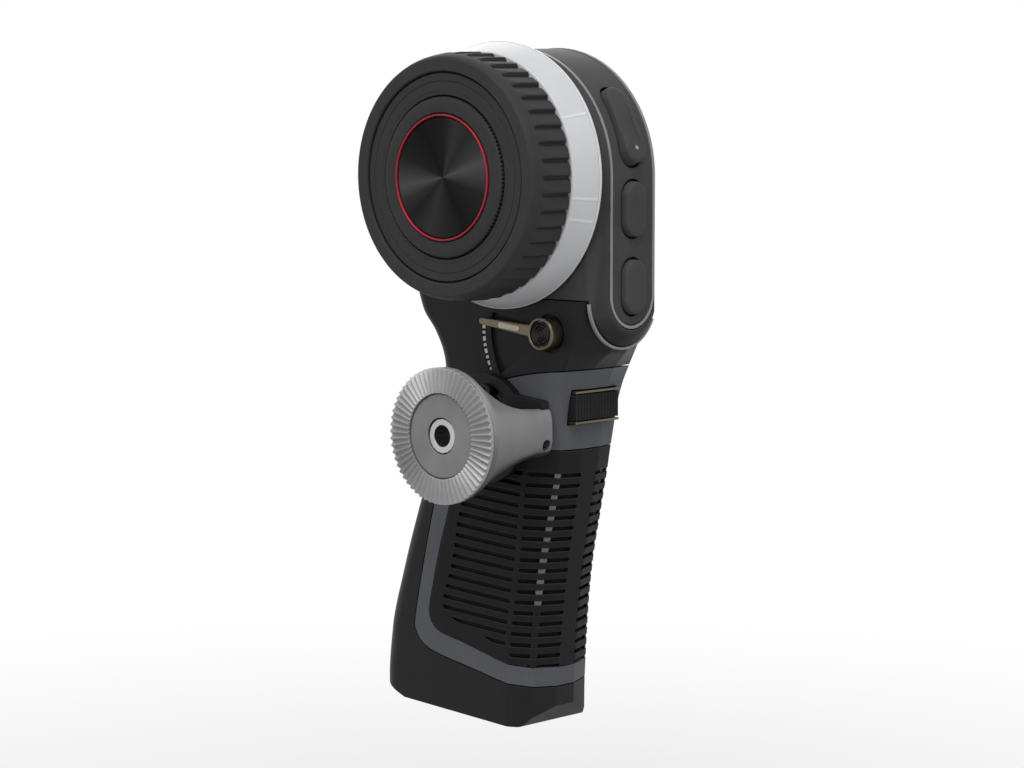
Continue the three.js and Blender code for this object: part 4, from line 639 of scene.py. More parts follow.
def wheel_lathe(profile, steps=192):
    return lathe_x([(radius, -(POD_HALF + out)) for radius, out in profile], steps)


def toothed_surface(count, per_pitch, outs, radius_at):
    """A drum round the wheel's axis, whose radius follows from how far out it is and the share
    of a pitch."""
    steps = count * per_pitch
    rings = []
    for out in outs:
        ring = []
        for k in range(steps):
            turn = 2 * pi * k / steps
            radius = radius_at(out, (k % per_pitch) / per_pitch)
            ring.append((-(POD_HALF + out), radius * cos(turn), radius * sin(turn)))
        rings.append(ring)
    return loft(rings)


def tyre_radius(out, t):
    """Ribs that rise over their pitch and drop into a slot, trimmed by the crowned shoulder."""
    rib = TYRE_ROOT + TYRE_RISE * smooth_value(TYRE_RIB, t)
    return min(max(rib, smooth_value(TYRE_FLOOR, out)), smooth_value(TYRE_CROWN, out))


def make_tyre():
    outs = [8.5, 8.6, 8.75, 8.9, *np.linspace(9.6, 14.6, 4), *np.linspace(15, 20.2, 18),
            20.45, 20.65, 20.8, 20.9]
    drum = toothed_surface(46, 20, outs, tyre_radius)
    bore = wheel_lathe([(0.01, 0), (26, 0), (26, 19.3), (24.5, 19.3), (24.5, 20.6),
                        (24.8, 20.95), (24.8, 30), (0.01, 30)])
    piece(cut(drum, bore), "tyre", "tyre", "focus_wheel", "black_rubber", "wheel_tyre")


def boss_radius(out, t):
    cuts = BOSS_KNURL * (0.5 + 0.5 * cos(2 * pi * t))
    return smooth_value(BOSS_EDGE, out) - cuts * (1 - smooth_value([(20.55, 0), (20.85, 1)], out))


def make_marking_ring():
    cone = filleted([(26, 1.55), (31.4, 1.55), (29, 8.2), (26, 8.2)], [0.2, 0.1, 0.3, 0.2])
    piece(wheel_lathe(cone, 256), "marking_cone", "ring", "focus_wheel", "marking_grey",
          "marking_ring")
    lip = filleted([(26, 0.6), (31.2, 0.6), (31.52, 0.9), (31.52, 1.5), (26, 1.5)],
                   [0.2, 0.2, 0.2, 0.1, 0.1])
    piece(wheel_lathe(lip, 256), "marking_lip", "lip", "focus_wheel", "marking_grey")
    shallow = wheel_lathe([(27, 1.7), (31.4, 1.7), (29.09, 8.0), (27, 8.0)], 256)
    spokes = join(*[turned(block(-22, -12, -33, -27, -0.36, 0.36), radians(-angle), "X")
                    for angle in (28.4, -8.9, -18.7, 118.4, 208.4)])
    piece(meet(shallow, spokes), "marking_lines", "lip", "focus_wheel", "marking_grey")


def make_wheel():
    make_tyre()
    make_marking_ring()

    face = 20.4
    circles = []
    for radius, half, depth in [(19.9, 0.1, 0.08), (22.2, 0.14, 0.16)]:
        circles += [(radius - half, face), (radius - half / 2, face - depth),
                    (radius + half / 2, face - depth), (radius + half, face)]
    plate = [(19.0, 18.6), (19.0, face - 0.15), (19.15, face), *circles, (23.95, face),
             (24.1, face - 0.15), (24.1, 18.6)]
    piece(wheel_lathe(plate), "face_ring", "satin", "focus_wheel", "black_plastic", "face_plate")

    outs = [18.6, 20.3, 20.55, 20.65, 20.75, 20.85, 20.95, 21.05, 21.15, 21.2]
    boss = toothed_surface(120, 8, outs, boss_radius)
    bore = wheel_lathe([(0.01, 0), (12, 0), (12, 20.2), (14.95, 20.2), (14.95, 21.0),
                        (15.15, 21.21), (15.15, 30), (0.01, 30)])
    piece(cut(boss, bore), "boss", "satin", "focus_wheel", "black_plastic", "knurled_boss")

    red = filleted([(14.2, 20.5), (14.7, 20.5), (14.7, 21.45), (14.2, 21.45)],
                   [0.05, 0.05, 0.2, 0.2])
    piece(wheel_lathe(red, 256), "accent_ring", "red", "focus_wheel", "red_metal", "red_ring")

    dish = [(13.95 * t, 20.65 + 0.5 * t * t) for t in np.linspace(0.001, 0.985, 24)]
    cap = [(0.01, 20.5), (13.95, 20.5), (13.95, 21.02), (13.85, 21.14)] + dish[::-1]
    piece(wheel_lathe(cap, 256), "spun_dish", "spun", "focus_wheel", "spun_black", "spun_cap")


# Pod


def side_outline(radius):
    low = -(POD_BOTTOM + POD_HALF + POD_BEVEL + 4)
    return [(-radius, low)] + arc((0, 0), radius, pi, 0, 180) + [(radius, low)]


def front_outline(half, depth):
    high = POD_RIM + 4
    return [(-half, high)] + arc((0, -depth), half, pi, 2 * pi, 48) + [(half, high)]


def nose_form():
    """The pod's front outline along its depth, drawn in where its lower end meets the front."""
    return loft([[(x, y, z) for x, z in front_outline(half, POD_BOTTOM)]
                 for y, half in NOSE_EDGE])


def rim_band(outer, inner):
    low = -(POD_BOTTOM + POD_HALF + 4)
    outside = [(-outer, low)] + arc((0, 0), outer, pi, PANEL_END, 120)
    return outside + arc((0, 0), inner, PANEL_END, pi, 120) + [(-inner, low)]


def rim_strip(half, outer, inner):
    return meet(along_x(rim_band(outer, inner), -half - 4, half + 4),
                along_y(front_outline(half, PANEL_BOTTOM), -FAR, FAR))


def key_blank(half, top, bottom, reach_out, reach_in, edge):
    """A key with a rounded rim and a slightly domed face, from its outer to its inner y."""
    rings = []
    for inset, y in [
        (0, reach_in), (0, reach_out + edge), (0.06, reach_out + 0.55 * edge),
        (0.22, reach_out + 0.22 * edge), (0.5, reach_out + 0.05 * edge), (1.0, reach_out),
        (1.9, reach_out - 0.05), (2.8, reach_out - 0.08),
    ]:
        outline = capsule(half - inset, top - inset, bottom + inset)
        rings.append([(x, y, z) for x, z in outline])
    return loft(rings)


def make_rocker():
    """A long key whose face follows the rim and swells to its lower end, made upright."""
    outline = capsule(KEY_HALF, ROCKER_HALF, -ROCKER_HALF, 24)
    face = POD_RIM + ROCKER_PROUD
    rings = []
    for inset, lower in [(0, 4.1), (0, 0.7), (0.06, 0.42), (0.2, 0.2), (0.5, 0.05), (1.0, 0),
                         (2.0, -0.02)]:
        ring = []
        for x, z in outline:
            x, z = x * (1 - inset / KEY_HALF), z - copysign(min(inset, abs(z)), z)
            radius = face - lower - 0.55 * (0.5 + 0.5 * tanh(z / 3.0))
            ring.append((x, -sqrt(radius * radius - z * z), z))
        rings.append(ring)
    rocker = rocker_frame(loft(rings))
    piece(rocker, "rocker", "key", "rocker", "pod_plastic", "rocker_button")
    face, dot_z = face - 0.1, -6.4
    dot = rocker_frame(nub(0, -sqrt(face * face - dot_z**2), dot_z, 0.5, 0.1))
    piece(dot, "rocker_dot", "lamp", "rocker", "marking_grey")


def rocker_frame(obj):
    return turned(obj, -ROCKER_TILT, "X")


def pod_profile():
    """The pod's half outline across its width: (x, inset of the rim) with a softened chamfer."""
    shoulder = POD_HALF - POD_BEVEL
    corners = [(-POD_HALF, 14), (-POD_HALF, POD_BEVEL), (-shoulder, 0), (shoulder, 0),
               (POD_HALF, POD_BEVEL), (POD_HALF, 14)]
    return filleted(corners, [0, 0.7, 0.9, 0.9, 0.7, 0], 5, closed=False)


def pod_form():
    """The outside of the pod, whose nose reaches down in front of the neck."""
    profile = pod_profile()
    shell = loft([[(x, y, z) for y, z in side_outline(POD_RIM - inset)] for x, inset in profile])
    under = block(-FAR, FAR, NECK_FRONT, FAR, -FAR, -POD_SEAT)
    nose = along_y(front_outline(POD_HALF - POD_NOSE_STEP, POD_BOTTOM), -FAR, FAR)
    below = cut(block(-FAR, FAR, -FAR, NECK_FRONT, -FAR, -POD_SEAT), nose)
    return cut(meet(shell, nose_form()), under, below)


def key_holes():
    """Holes for the two keys and a well for the rocker, wider than what moves in them."""
    holes = [along_y(capsule(KEY_HALF + KEY_MOAT, top + KEY_MOAT, bottom - KEY_MOAT),
                     KEY_FRONT - 4, KEY_FRONT + KEY_THICK + 0.8)
             for top, bottom in (KEY_UPPER, KEY_LOWER)]
    end = ROCKER_HALF + ROCKER_MOAT
    well = along_y(capsule(KEY_HALF + ROCKER_MOAT, end, -end), -FAR, -24.5)
    return [*holes, rocker_frame(well)]


def make_pod():
    shell, openings = pod_form(), key_holes()
    recess = rim_strip(BEZEL_HALF + GAP, FAR, POD_RIM - BEZEL_THICK - GAP)
    screws = [rod_x(1.4, -1.0, FAR, at) for at in COVER_SCREWS]

    body = copy_of(shell)
    cavity, floor = side_outline(POD_RIM - POD_BEVEL - POD_WALL), -(POD_SEAT - POD_WALL)
    cut(body, meet(along_x(cavity, -POD_HALF + POD_WALL, COVER_SPLIT + GAP),
                   block(-FAR, FAR, -FAR, FAR, floor, FAR)))
    join(body, block(-7.9, 7.9, -20, 20, -POD_SEAT - 4.2, floor))
    cut(body, block(COVER_SPLIT, FAR, -FAR, FAR, -FAR, FAR))
    cut(body, recess, *openings, keep=True)
    seal = lathe_x([(23.1, -FAR), (25.5, -FAR), (25.5, -10.9), (23.1, -10.9)], 128)
    socket = along_y([(a, b - 14) for a, b in flat_capsule(4.8, 1.9)], 0, FAR)
    cut(body, seal, rod_x(5.2, -FAR, -6), socket)
    cut(body, *screws, keep=True)
    piece(body, "pod_shell", "pod", "body", "pod_plastic", "pod_body")

    lid = meet(shell, block(COVER_SPLIT + GAP, FAR, -FAR, FAR, -FAR, FAR))
    window = along_x(round_rect(-11.8, 11.8, -16.3, 12.3, 2), 10.7, FAR)
    throat = along_x(round_rect(-9.9, 9.9, -14.4, 10.4, 2), 0, FAR)
    heads = [rod_x(2.1, 10.4, FAR, at) for at in COVER_SCREWS]
    cut(lid, window, throat, recess, *screws, *heads)
    piece(lid, "pod_lid", "pod", "body", "pod_plastic", "pod_cover")

    glass = loft([[(x, y, z) for y, z in round_rect(-11.5 + i, 11.5 - i, -16 + i, 12 - i, 2)]
                  for x, i in [(11.0, 0), (11.75, 0), (11.86, 0.05), (11.9, 0.16)]])
    piece(glass, "display_window", "glass", "body", "dark_window", "display_glass")
    make_panel(openings)


def make_panel(openings):
    """The panel on the pod's rim with its bezel and keys, and the arc under the nose."""
    face = POD_RIM - PANEL_INSET
    strip = cut(rim_strip(PANEL_HALF, face, face - PANEL_THICK), *openings)
    piece(strip, "key_panel", "panel", "body", "pod_plastic", "button_panel")
    bezel = rim_strip(BEZEL_HALF, POD_RIM, POD_RIM - BEZEL_THICK)
    cut(bezel, rim_strip(PANEL_HALF + GAP, POD_RIM + 4, POD_RIM - BEZEL_THICK - 4))
    piece(bezel, "bezel", "silver", "body", "silver_trim", "panel_bezel")
    for name, node_name, body, (top, bottom) in [
        ("key_upper", "button_upper", "upper_key", KEY_UPPER),
        ("key_lower", "button_lower", "lower_key", KEY_LOWER),
    ]:
        key = key_blank(KEY_HALF, top, bottom, KEY_FRONT + 0.08, KEY_FRONT + KEY_THICK, 0.8)
        piece(key, name, "key", body, "pod_plastic", node_name)
    make_rocker()

    inner = POD_HALF - POD_NOSE_STEP + GAP
    cradle = ring_sector(inner, POD_HALF + 0.5, pi + 0.1, 2 * pi - 0.5)
    back = NECK_FRONT - GAP
    trim = moved(along_y(cradle, back - BEZEL_WIDTH, back), 0, 0, -POD_BOTTOM)
    piece(trim, "cradle_arc", "silver", "body", "silver_trim", "cradle_trim")


def nub(x, y, z, radius, height):
    """A small round nub that stands on a face at y and points forwards."""
    rings = []
    for t in np.linspace(0, 0.96, 6):
        outline = circle(radius * cos(t * pi / 2), 16)
        rings.append([(x + a, y - height * sin(t * pi / 2), z + b) for a, b in outline])
    rings.insert(0, [(p[0], y + 0.3, p[2]) for p in rings[0]])
    return loft(rings)


# Handle

NECK_SIDE = -HANDLE_HALF * smooth_value(WIDTH, 0)


def drop_at(share):
    return HANDLE_TOP + HANDLE_HEIGHT * share


def handle_ring(share, inset):
    front = HANDLE_DEPTH * smooth_value(FRONT, share) + inset
    corner = HANDLE_DEPTH * smooth_value(CORNER, share) + inset
    wide = HANDLE_HALF * smooth_value(WIDTH, share) - inset
    corner_wide = min(HANDLE_HALF * smooth_value(CORNER_WIDTH, share) - inset, wide)
    side = max(HANDLE_DEPTH * smooth_value(SIDE_START, share) + inset / 2, corner + GAP)
    back = min(HANDLE_DEPTH * smooth_value(BACK, share), HEEL) - inset
    round_off = max(HANDLE_HALF * smooth_value(BACK_RADIUS, share) - inset / 2, GAP)
    flat = corner_wide * smooth_value(FLAT, share)
    half = [(0, front), (flat, front), (corner_wide, corner), (wide, side)]
    half = filleted(half + [(wide, side + 8)], [0, 1.6, 0.4, 1.4, 0], 5, closed=False)[:-1]
    for turn in np.linspace(0, pi / 2, 17):
        half.append((wide - round_off + round_off * cos(turn),
                     back - round_off + round_off * sin(turn)))
    half.append((0, back))
    z = -drop_at(share)
    right = [(x, y, z) for x, y in half]
    left = [(-x, y, z) for x, y in half[1:-1]][::-1]
    return right + left


def handle_solid(inset):
    rings = [handle_ring(share, inset) for share in [*np.linspace(0, 1, 110), 1]]
    rings[-1] = [(x, y, -HANDLE_TOP - HANDLE_HEIGHT - 2.2) for x, y, _ in rings[-1]]
    return loft(rings)


def side_loop(table, grow=0.0):
    points = [(HANDLE_DEPTH * a, -drop_at(b)) for a, b in table]
    return along_x(grown(spline(points), grow), -HANDLE_HALF - 4, HANDLE_HALF + 4)


def base_at(y):
    """The height of the foot's underside."""
    return -DOOR_DROP + (y - DOOR_Y) * tan(DOOR_RAKE)


def foot_outline():
    low, heel = base_at(-5), base_at(31.7)
    toe = low + 4.95
    corners = [(-50, 0), (-50, toe), (-9.5, toe), (-5, low), (31.7, heel), (40, heel + 3.7),
               (50, heel + 3.7), (50, 0)]
    return filleted(corners, [0, 0, 1.5, 1.5, 2, 2, 0, 0], 5)


def base_frame(obj):
    return moved(turned(obj, DOOR_RAKE, "X"), 0, DOOR_Y, -DOOR_DROP)


def sleeve_slots():
    skin = cut(handle_solid(-GROOVE_DEPTH), handle_solid(GROOVE_DEPTH))
    section = round_rect(-FAR, FAR, -GROOVE_HEIGHT / 2, GROOVE_HEIGHT / 2, 0.4, 4)
    strips = join(*[moved(turned(along_x(section, -FAR, FAR), GROOVE_RAKE, "X"),
                          0, 0, -(GROOVE_FIRST + i * GROOVE_PITCH)) for i in range(GROOVE_COUNT)])
    meet(strips, skin, side_loop(GROOVES))
    edge = [(HANDLE_DEPTH * smooth_value(SIDE_START, s), -drop_at(s))
            for s in np.linspace(0, 1, 60)]
    bridge = along_x(edge + [(y + GROOVE_BRIDGE, z) for y, z in reversed(edge)], -FAR, FAR)
    plain = block(-GROOVE_PLAIN, GROOVE_PLAIN, -FAR, 0, DEEP, 0)
    return cut(strips, bridge, plain)


def crease_posts():
    """Two upright posts, one along each front crease, where the slots run out."""
    half = GROOVE_END
    corners = ((-half, -half), (half, -half), (half, half), (-half, half))
    posts = []
    for side in (-1, 1):
        rings = []
        for share in np.linspace(0.3, 0.95, 40):
            x = side * HANDLE_HALF * smooth_value(CORNER_WIDTH, share)
            y = HANDLE_DEPTH * smooth_value(CORNER, share)
            rings.append([(x + a, y + b, -drop_at(share)) for a, b in corners])
        posts.append(loft(rings))
    return join(*posts)


def make_grip():
    foot = along_x(foot_outline(), -20, 20)
    outer = meet(handle_solid(0), foot)
    under_skin = handle_solid(SKIN)
    bed = handle_solid(SKIN + GAP)
    trigger_hole = block(-8.1, 8.1, -FAR, -8.8, -TRIGGER_DROP - 4.25, -TRIGGER_DROP + 4.25)
    skin = cut(copy_of(outer), under_skin)
    trim = meet(copy_of(skin), side_loop(TRIM_OUTER))
    cut(trim, side_loop(TRIM_INNER))
    cut(trim, trigger_hole, keep=True)
    piece(trim, "band_and_stripe", "blue", "body", "blue_grey", "collar_trim")
    slots = sleeve_slots()
    ends = meet(copy_of(slots), crease_posts(), handle_solid(0.12))
    # The slot ends in the upper left take the lighter painted glint colour; the others keep the
    # rubber's.
    upper_left = block(-FAR, 0, -FAR, FAR, -GLINT_LOW, 0)
    lit = meet(copy_of(ends), upper_left, keep=True)
    cut(ends, upper_left)
    sleeve = cut(meet(skin, side_loop(TRIM_INNER, -GAP)), slots)
    piece(sleeve, "slotted_sleeve", "rubber", "body", "black_rubber", "grip_sleeve")
    piece(lit, "slot_ends_left", "glint", "body", "black_rubber")
    piece(ends, "slot_ends", "rubber", "body", "black_rubber")

    core = cut(copy_of(outer), side_loop(TRIM_OUTER, GAP))
    join(core, meet(bed, outer))
    hollow = handle_solid(SKIN + GAP + 1.6)
    roof = base_frame(block(-FAR, FAR, -FAR, FAR, 5.1, 220))
    meet(hollow, roof, block(-FAR, FAR, -FAR, FAR, DEEP, -36))
    cut(core, hollow, trigger_hole)
    make_neck(meet(copy_of(core), block(-FAR, FAR, -FAR, FAR, GAP / 2 - SPLIT_DROP, 0)))
    make_shells(core)


def make_neck(neck):
    side, at = NECK_SIDE, LEVER_AT
    mortise = block(-8.2, 8.2, -20.3, 20.3, -33, 0)
    sweep = ring_sector(0, 18.6, radians(-35), radians(13))
    groove = ring_sector(20.4, 21.4, radians(-28), radians(6.5))
    recess = along_x(sweep, side - 4, side + 0.8, at)
    knob = rod_x(4.5, side - 4, side + 0.8, at, 64)
    scale = along_x(groove, side - 4, side + 0.35, at)
    cut(neck, mortise, recess, knob, scale, rod_x(1.9, side - 4, 0, at), rod_x(2.9, -8.4, 0, at))
    for y in (-14, 14):
        cut(neck, rod_z(1.4, -40, 0, y), rod_z(2.5, -60, -35.7, y))
    piece(neck, "neck", "neck", "body", "black_plastic", "neck_yoke")

    marks = []
    for i, angle in enumerate(np.linspace(5.6, -27, 9)):
        reach = (2.6 if i % 2 else 1.7) / 2 * 1.2
        sector = ring_sector(20.45, 21.35, radians(angle - reach), radians(angle + reach), 6)
        marks.append(along_x(sector, side + 0.02, side + 0.3, at))
    piece(join(*marks), "scale_marks", "white", "body", "marking_grey")


def make_shells(core):
    bay = moved(turned(rod_z(9.5, -73, 0.8, 0), radians(10), "X"), 0, 2.1, -59)
    pocket = base_frame(block(-10.2, 10.2, -15.5, 14.5, -4, 2.9))
    knuckle = base_frame(block(-3.8, 3.8, 14.2, 17.7, -4, 3.3))
    tongue = base_frame(block(-3.7, 3.7, -17, -15.2, -4, 1.9))
    cuts = [bay, pocket, knuckle, tongue]
    heads = [rod_x(2.1, 6.5, FAR, (HANDLE_DEPTH * a, -drop_at(b)))
             for a, b in [(-0.196, 0.457), (-0.094, 0.757), (0.62, 0.8)]]
    low = -SPLIT_DROP - GAP / 2
    left = meet(copy_of(core), block(-FAR, -SEAM / 2, -FAR, FAR, DEEP, low))
    right = meet(core, block(SEAM / 2, FAR, -FAR, FAR, DEEP, low))
    cut(left, *cuts, keep=True)
    cut(right, *cuts, *heads)
    piece(left, "shell_left", "neck", "body", "black_plastic", "grip_shell_left")
    piece(right, "shell_right", "neck", "body", "black_plastic", "grip_shell_right")


# Lever


def make_lever():
    side, at = NECK_SIDE, LEVER_AT
    back = side - 0.5
    rings = []
    for x, inset in [(back, 0.15), (back - 0.15, 0), (back - 1.1, 0), (back - 1.3, 0.12),
                     (back - 1.4, 0.35)]:
        tip = arc((20.2, 0), 0.8 - inset, -pi / 2, pi / 2, 10)
        outline = [(0, -1.7 + inset), (20.2, -0.8 + inset), *tip, (0, 1.7 - inset)]
        rings.append([(x, y, z) for y, z in outline])
    arm = moved(turned(loft(rings), LEVER_LIFT, "X"), 0, *at)
    front = side - 3.4
    knob = filleted([(1.9, side + 0.5), (3.9, side + 0.5), (3.9, front), (3.2, front),
                     (3.2, front + 0.8), (1.9, front + 0.8)], [0, 0, 0.35, 0.15, 0.05, 0])
    lever = join(moved(lathe_x(knob, 96), 0, *at), arm)
    piece(lever, "lever_body", "gold", "lever", "gold", "lever_arm")
    cap = [(0.01, front + 0.5), (2.9, front + 0.5), (2.9, front + 0.35)]
    for t in np.linspace(2.86, 0.02, 30):
        cap.append((t, front + 0.28 + 0.1 * cos(t * 7.5) * (t > 0.9) + 0.12 * (1 - t / 2.9)))
    cap = moved(lathe_x(cap, 96), 0, *at)
    piece(cap, "lever_dish", "dark_cap", "lever", "spun_black", "lever_cap")
    # A raised pad on the arm, coloured light cream as a painted highlight.
    rings = []
    for x, inset in [(1.3, 0), (1.5, 0), (1.62, 0.15), (1.66, 0.4)]:
        outline = flat_capsule(3.4 - inset, 0.75 - inset * 0.7)
        rings.append([(back - x, y + 11.2, z) for y, z in outline])
    pad = moved(turned(loft(rings), LEVER_LIFT, "X"), 0, *at)
    piece(pad, "lever_pad_highlight", "cream", "lever", "gold")


# Trigger


def make_trigger():
    z, front = -TRIGGER_DROP, -TRIGGER_FRONT
    rear, tall = front + 4.4, TRIGGER_HALF_HEIGHT
    plates = []
    for side in (-1, 1):
        low, high = sorted((z + side * tall, z + side * (tall - 0.6)))
        outline = [(front, low), (rear, low), (rear, high), (front, high)]
        plates.append(along_x(filleted(outline, [0.2, 0, 0, 0.2]), -TRIGGER_HALF, TRIGGER_HALF))
    back = block(-TRIGGER_HALF, TRIGGER_HALF, rear - 0.05, rear + 1.4, z - tall, z + tall)
    stem = block(-3, 3, rear, rear + 6.9, z - 2, z + 2)
    piece(join(back, stem, *plates), "trigger_body", "gold", "trigger", "gold", "trigger_frame")
    ribs, samples, half = 15, 10, 3.0
    points = []
    for k in range(ribs * samples + 1):
        t = (k % samples) / samples
        valley = max(0.0, 1 - min(t, 1 - t) / 0.22)
        x = -TRIGGER_HALF + 2 * TRIGGER_HALF * k / (ribs * samples)
        points.append((x, front + 0.45 * valley))
    outline = points + [(TRIGGER_HALF, rear - GAP), (-TRIGGER_HALF, rear - GAP)]
    pad = loft([[(x, y, h) for x, y in outline] for h in (z - half, z + half)])
    piece(pad, "trigger_ribs", "rubber", "trigger", "black_rubber", "trigger_pad")


# Rosette mount, round its own axis


def column_outline(grow=0.0):
    """The column's section round the rosette's axis: a rounded bar that narrows to its back."""
    back = filleted([(0, -6.3), (9.5, -6.3), (9.5, 3.5), (0, 4.3)], [0, 3.6, 2.6, 0], 8,
                    closed=False)
    front = [(-8.9, 5), (-10.2, 4.5), (-10.8, 2.5), (-10.95, -0.5), (-10.8, -3.2),
             (-10.2, -5.1), (-8.4, -6.3)]
    return grown(back + spline(front, 5), grow)


def horn_rings(at):
    """Rings of the column, which starts inset in the grip, flares and ends as the rosette."""
    outline = column_outline()
    dense = []
    for a, b in zip(outline, outline[1:] + outline[:1]):
        steps = max(1, round(dist(a, b) / 0.9))
        dense += [(a[0] + (b[0] - a[0]) * k / steps, a[1] + (b[1] - a[1]) * k / steps)
                  for k in range(steps)]

    def ring_at(x, share, radius=MOUNT_RADIUS, inset=0.0):
        made = []
        for y, z in dense:
            turn = atan2(z, y)
            flat = Vector((y, z)) * (1 - inset / Vector((y, z)).length)
            spot = flat.lerp(Vector((radius * cos(turn), radius * sin(turn))), share)
            made.append((x, spot.x + at[0], spot.y + at[1]))
        return made

    start, flare_start, end = -12.9, -17.0, -38.3
    rim_back = end + 1.5
    rings = [ring_at(-9, 0, inset=1.9), ring_at(start, 0, inset=1.9), ring_at(start, 0),
             ring_at(-14.5, 0)]
    for i in range(29):
        part = i / 28
        rings.append(ring_at(flare_start + (rim_back - 0.3 - flare_start) * part, part**1.25))
    rings += [ring_at(rim_back - 0.5, 1), ring_at(end + 0.25, 1),
              ring_at(end, 1, MOUNT_RADIUS - 0.25)]
    return rings


def make_mount():
    at = MOUNT_AT
    horn = join(loft(horn_rings(at)), rod_x(9.7, -39.2, -37.3, at, 96))
    bore = rod_x(4.3, -FAR, -29.9, at, 64)
    upper = rod_x(2.1, -24, -11, (at[0] + 7.1, at[1] + 8.2))
    low_at = (at[0] - 8.5, at[1] - 3.4)
    drill_at = (-14.75, at[0] - 10.4, at[1] - 3.5)
    drilled, rim = (moved(turned(rod_x(radius, start, 3), radians(90), "Z"), *drill_at)
                    for radius, start in ((1.35, -4), (1.6, -0.6)))
    cut(horn, bore, upper, rod_x(1.85, -17.2, -11, low_at), drilled, handle_solid(-0.05))
    cut(horn, meet(rim, block(-FAR, 0, -FAR, at[0] - 10.35, -FAR, 0)))
    piece(horn, "rosette_horn", "grey", "body", "grey_metal", "rosette_mount")
    make_teeth(at)

    def edged(points):
        levels = [(-12.9, 0), (-15.1, 0), (-15.24, 0.06), (-15.3, 0.2)]
        return loft([[(x, y, z) for y, z in shifted(grown(points, -inset), at)]
                     for x, inset in levels])

    ledge = filleted([(-9.6, 4), (10, 1), (10, 9.6), (-2, 7.6), (-9.9, 6.8)],
                     [0.3, 0.5, 0.5, 1, 1.2], 6)
    seat, deep = (along_x(outline, -20, -10, at) for outline in (
        column_outline(0.06), slotted((7.4, 8.4), (3.6, 6.6), 1.5)))
    plate = join(edged([(9 + y, z - 0.8) for y, z in circle(13, 96)]), edged(ledge))
    cut(plate, seat, deep, rod_x(1.85, -20, -10, low_at), handle_solid(-0.05))
    piece(plate, "base_plate", "neck", "body", "black_plastic", "mount_base")
    screw_at = (at[0] - 8.3, at[1] - 3.4)
    screw = cut(rod_x(1.2, -16.9, -13.2, screw_at), rod_x(0.7, -18, -15.9, screw_at, 6))
    piece(screw, "base_screw", "neck", "body", "steel", "mount_screw_lower")


def make_teeth(at):
    count, per = 60, 8
    steps = count * per
    inner, back = 10.0, -38.6

    def tooth(k, radius):
        away = abs((k % per) / per - 0.5) * 2
        return 0.9 * radius / MOUNT_RADIUS * min(max((1 - away) * 1.1 - 0.05, 0), 1)

    loops = []
    for k in range(steps):
        turn = 2 * pi * k / steps
        rise = tooth(k, MOUNT_RADIUS)
        profile = [(inner, -MOUNT_REACH + tooth(k, inner)),
                   (MOUNT_RADIUS - 0.15, -MOUNT_REACH + rise),
                   (MOUNT_RADIUS, -MOUNT_REACH + rise * 0.9 + 0.12),
                   (MOUNT_RADIUS, back), (inner, back)]
        loops.append([(x, r * cos(turn) + at[0], r * sin(turn) + at[1]) for r, x in profile])
    piece(loft(loops, closed_path=True), "rosette_teeth", "teeth", "body", "steel", "rosette_ring")


# Stage, lights and camera


def seen_ray(tree):
    """One for rays of the camera, of gloss and of glass, nought for light on the object."""
    path = node(tree, "LightPath").outputs
    value = path["Is Camera Ray"]
    for name in ("Is Glossy Ray", "Is Transmission Ray"):
        value = maths(tree, "MAXIMUM", value, path[name])
    return value


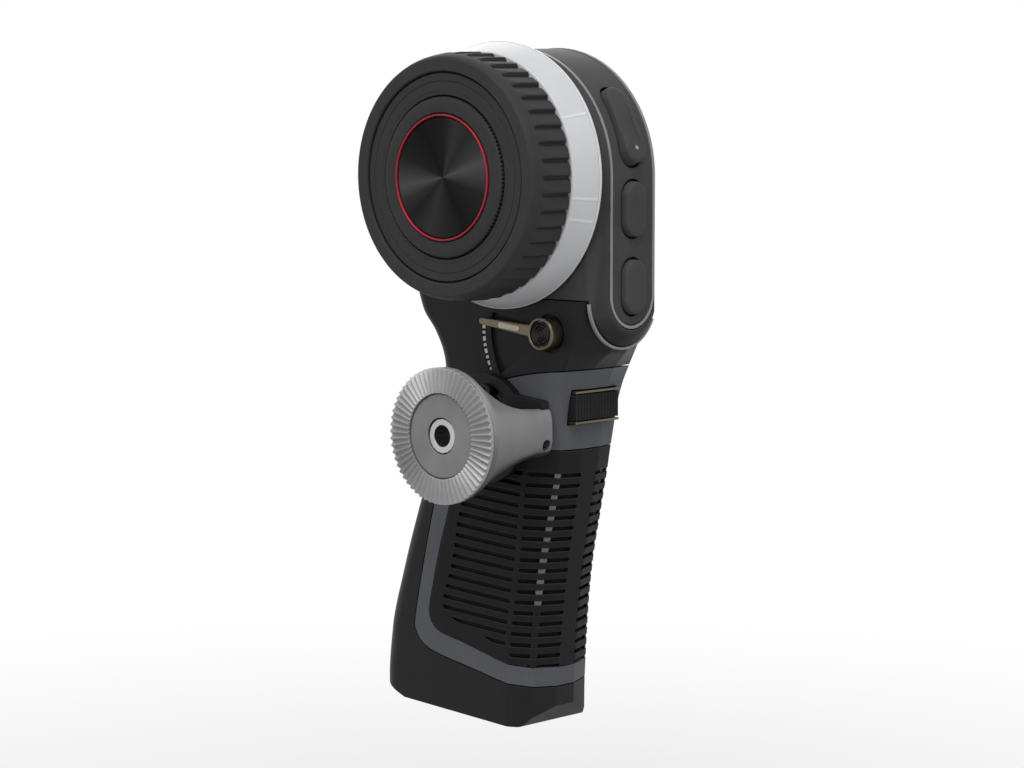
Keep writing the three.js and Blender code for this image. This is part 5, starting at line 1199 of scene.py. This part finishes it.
def make_stage():
    """A pale floor, low enough for the open battery door, that fades into the white behind."""
    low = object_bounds()[0].z - FLOOR_DROP * MM
    bpy.ops.mesh.primitive_grid_add(x_subdivisions=2, y_subdivisions=2, size=12,
                                    location=(0, 0, low))
    floor = bpy.context.object
    floor.name = "floor"
    material = bpy.data.materials.new("floor_paper")
    tree = bare_tree(material)
    paper = node(tree, "BsdfDiffuse", Color=opaque([0.62] * 3)).outputs["BSDF"]
    glow = node(tree, "Emission", Color=opaque([1] * 3), Strength=1.0).outputs["Emission"]
    place = node(tree, "TexCoord").outputs["Object"]
    away = node(tree, "VectorMath", {"operation": "LENGTH"}, _0=place).outputs["Value"]
    fade = spread(tree, away, 0.08, 0.4, 0.72, 1.0, "SMOOTHSTEP")
    share = maths(tree, "MULTIPLY", seen_ray(tree), fade)
    mix = node(tree, "MixShader", Fac=share, _1=paper, _2=glow)
    node(tree, "OutputMaterial", Surface=mix.outputs["Shader"])
    floor.data.materials.append(material)


def make_world():
    world = bpy.data.worlds.new("studio")
    bpy.context.scene.world = world
    tree = bare_tree(world)
    light, seen = (
        node(tree, "Background", Color=opaque([1] * 3), Strength=strength).outputs["Background"]
        for strength in (0.24, 1.0))
    mix = node(tree, "MixShader", Fac=seen_ray(tree), _1=light, _2=seen)
    node(tree, "OutputWorld", Surface=mix.outputs["Shader"])


def aim(obj, target):
    obj.rotation_mode = "QUATERNION"
    obj.rotation_quaternion = (Vector(target) - obj.location).to_track_quat("-Z", "Y")


def make_lights():
    for name, place, size, power in [
        ("key_above", (-0.45, -0.35, 0.9), (0.8, 0.8), 8.6),
        ("fill_left", (-0.9, -0.1, 0.3), (0.8, 0.8), 1.6),
        ("front_right", (0.35, -0.95, 0.45), (0.5, 0.9), 1.3),
        ("back_rim", (0.7, 0.6, 0.5), (0.5, 0.9), 2.2),
    ]:
        data = bpy.data.lights.new(name, "AREA")
        data.shape = "RECTANGLE"
        data.size, data.size_y = size
        data.energy = power
        made = linked(name, data)
        made.location = place
        aim(made, (0.04, 0.01, 0.01))


def make_camera():
    target = Vector((0.040, 0.01354, 0.00822))
    azimuth, elevation, away = radians(-47.8), radians(5.8), 0.75
    level = cos(elevation)
    back = Vector((sin(azimuth) * level, -cos(azimuth) * level, sin(elevation)))
    data = bpy.data.cameras.new("camera")
    data.lens = 108.8
    data.sensor_width = 36.0
    data.clip_start = 0.01
    camera = linked("camera", data)
    camera.location = target + back * away
    aim(camera, target)
    bpy.context.scene.camera = camera


bpy.context.scene.view_settings.view_transform = "Standard"
make_camera()
dress_nodes()
make_wheel()
make_pod()
make_grip()
make_lever()
make_trigger()
make_mount()
make_stage()
make_world()
make_lights()
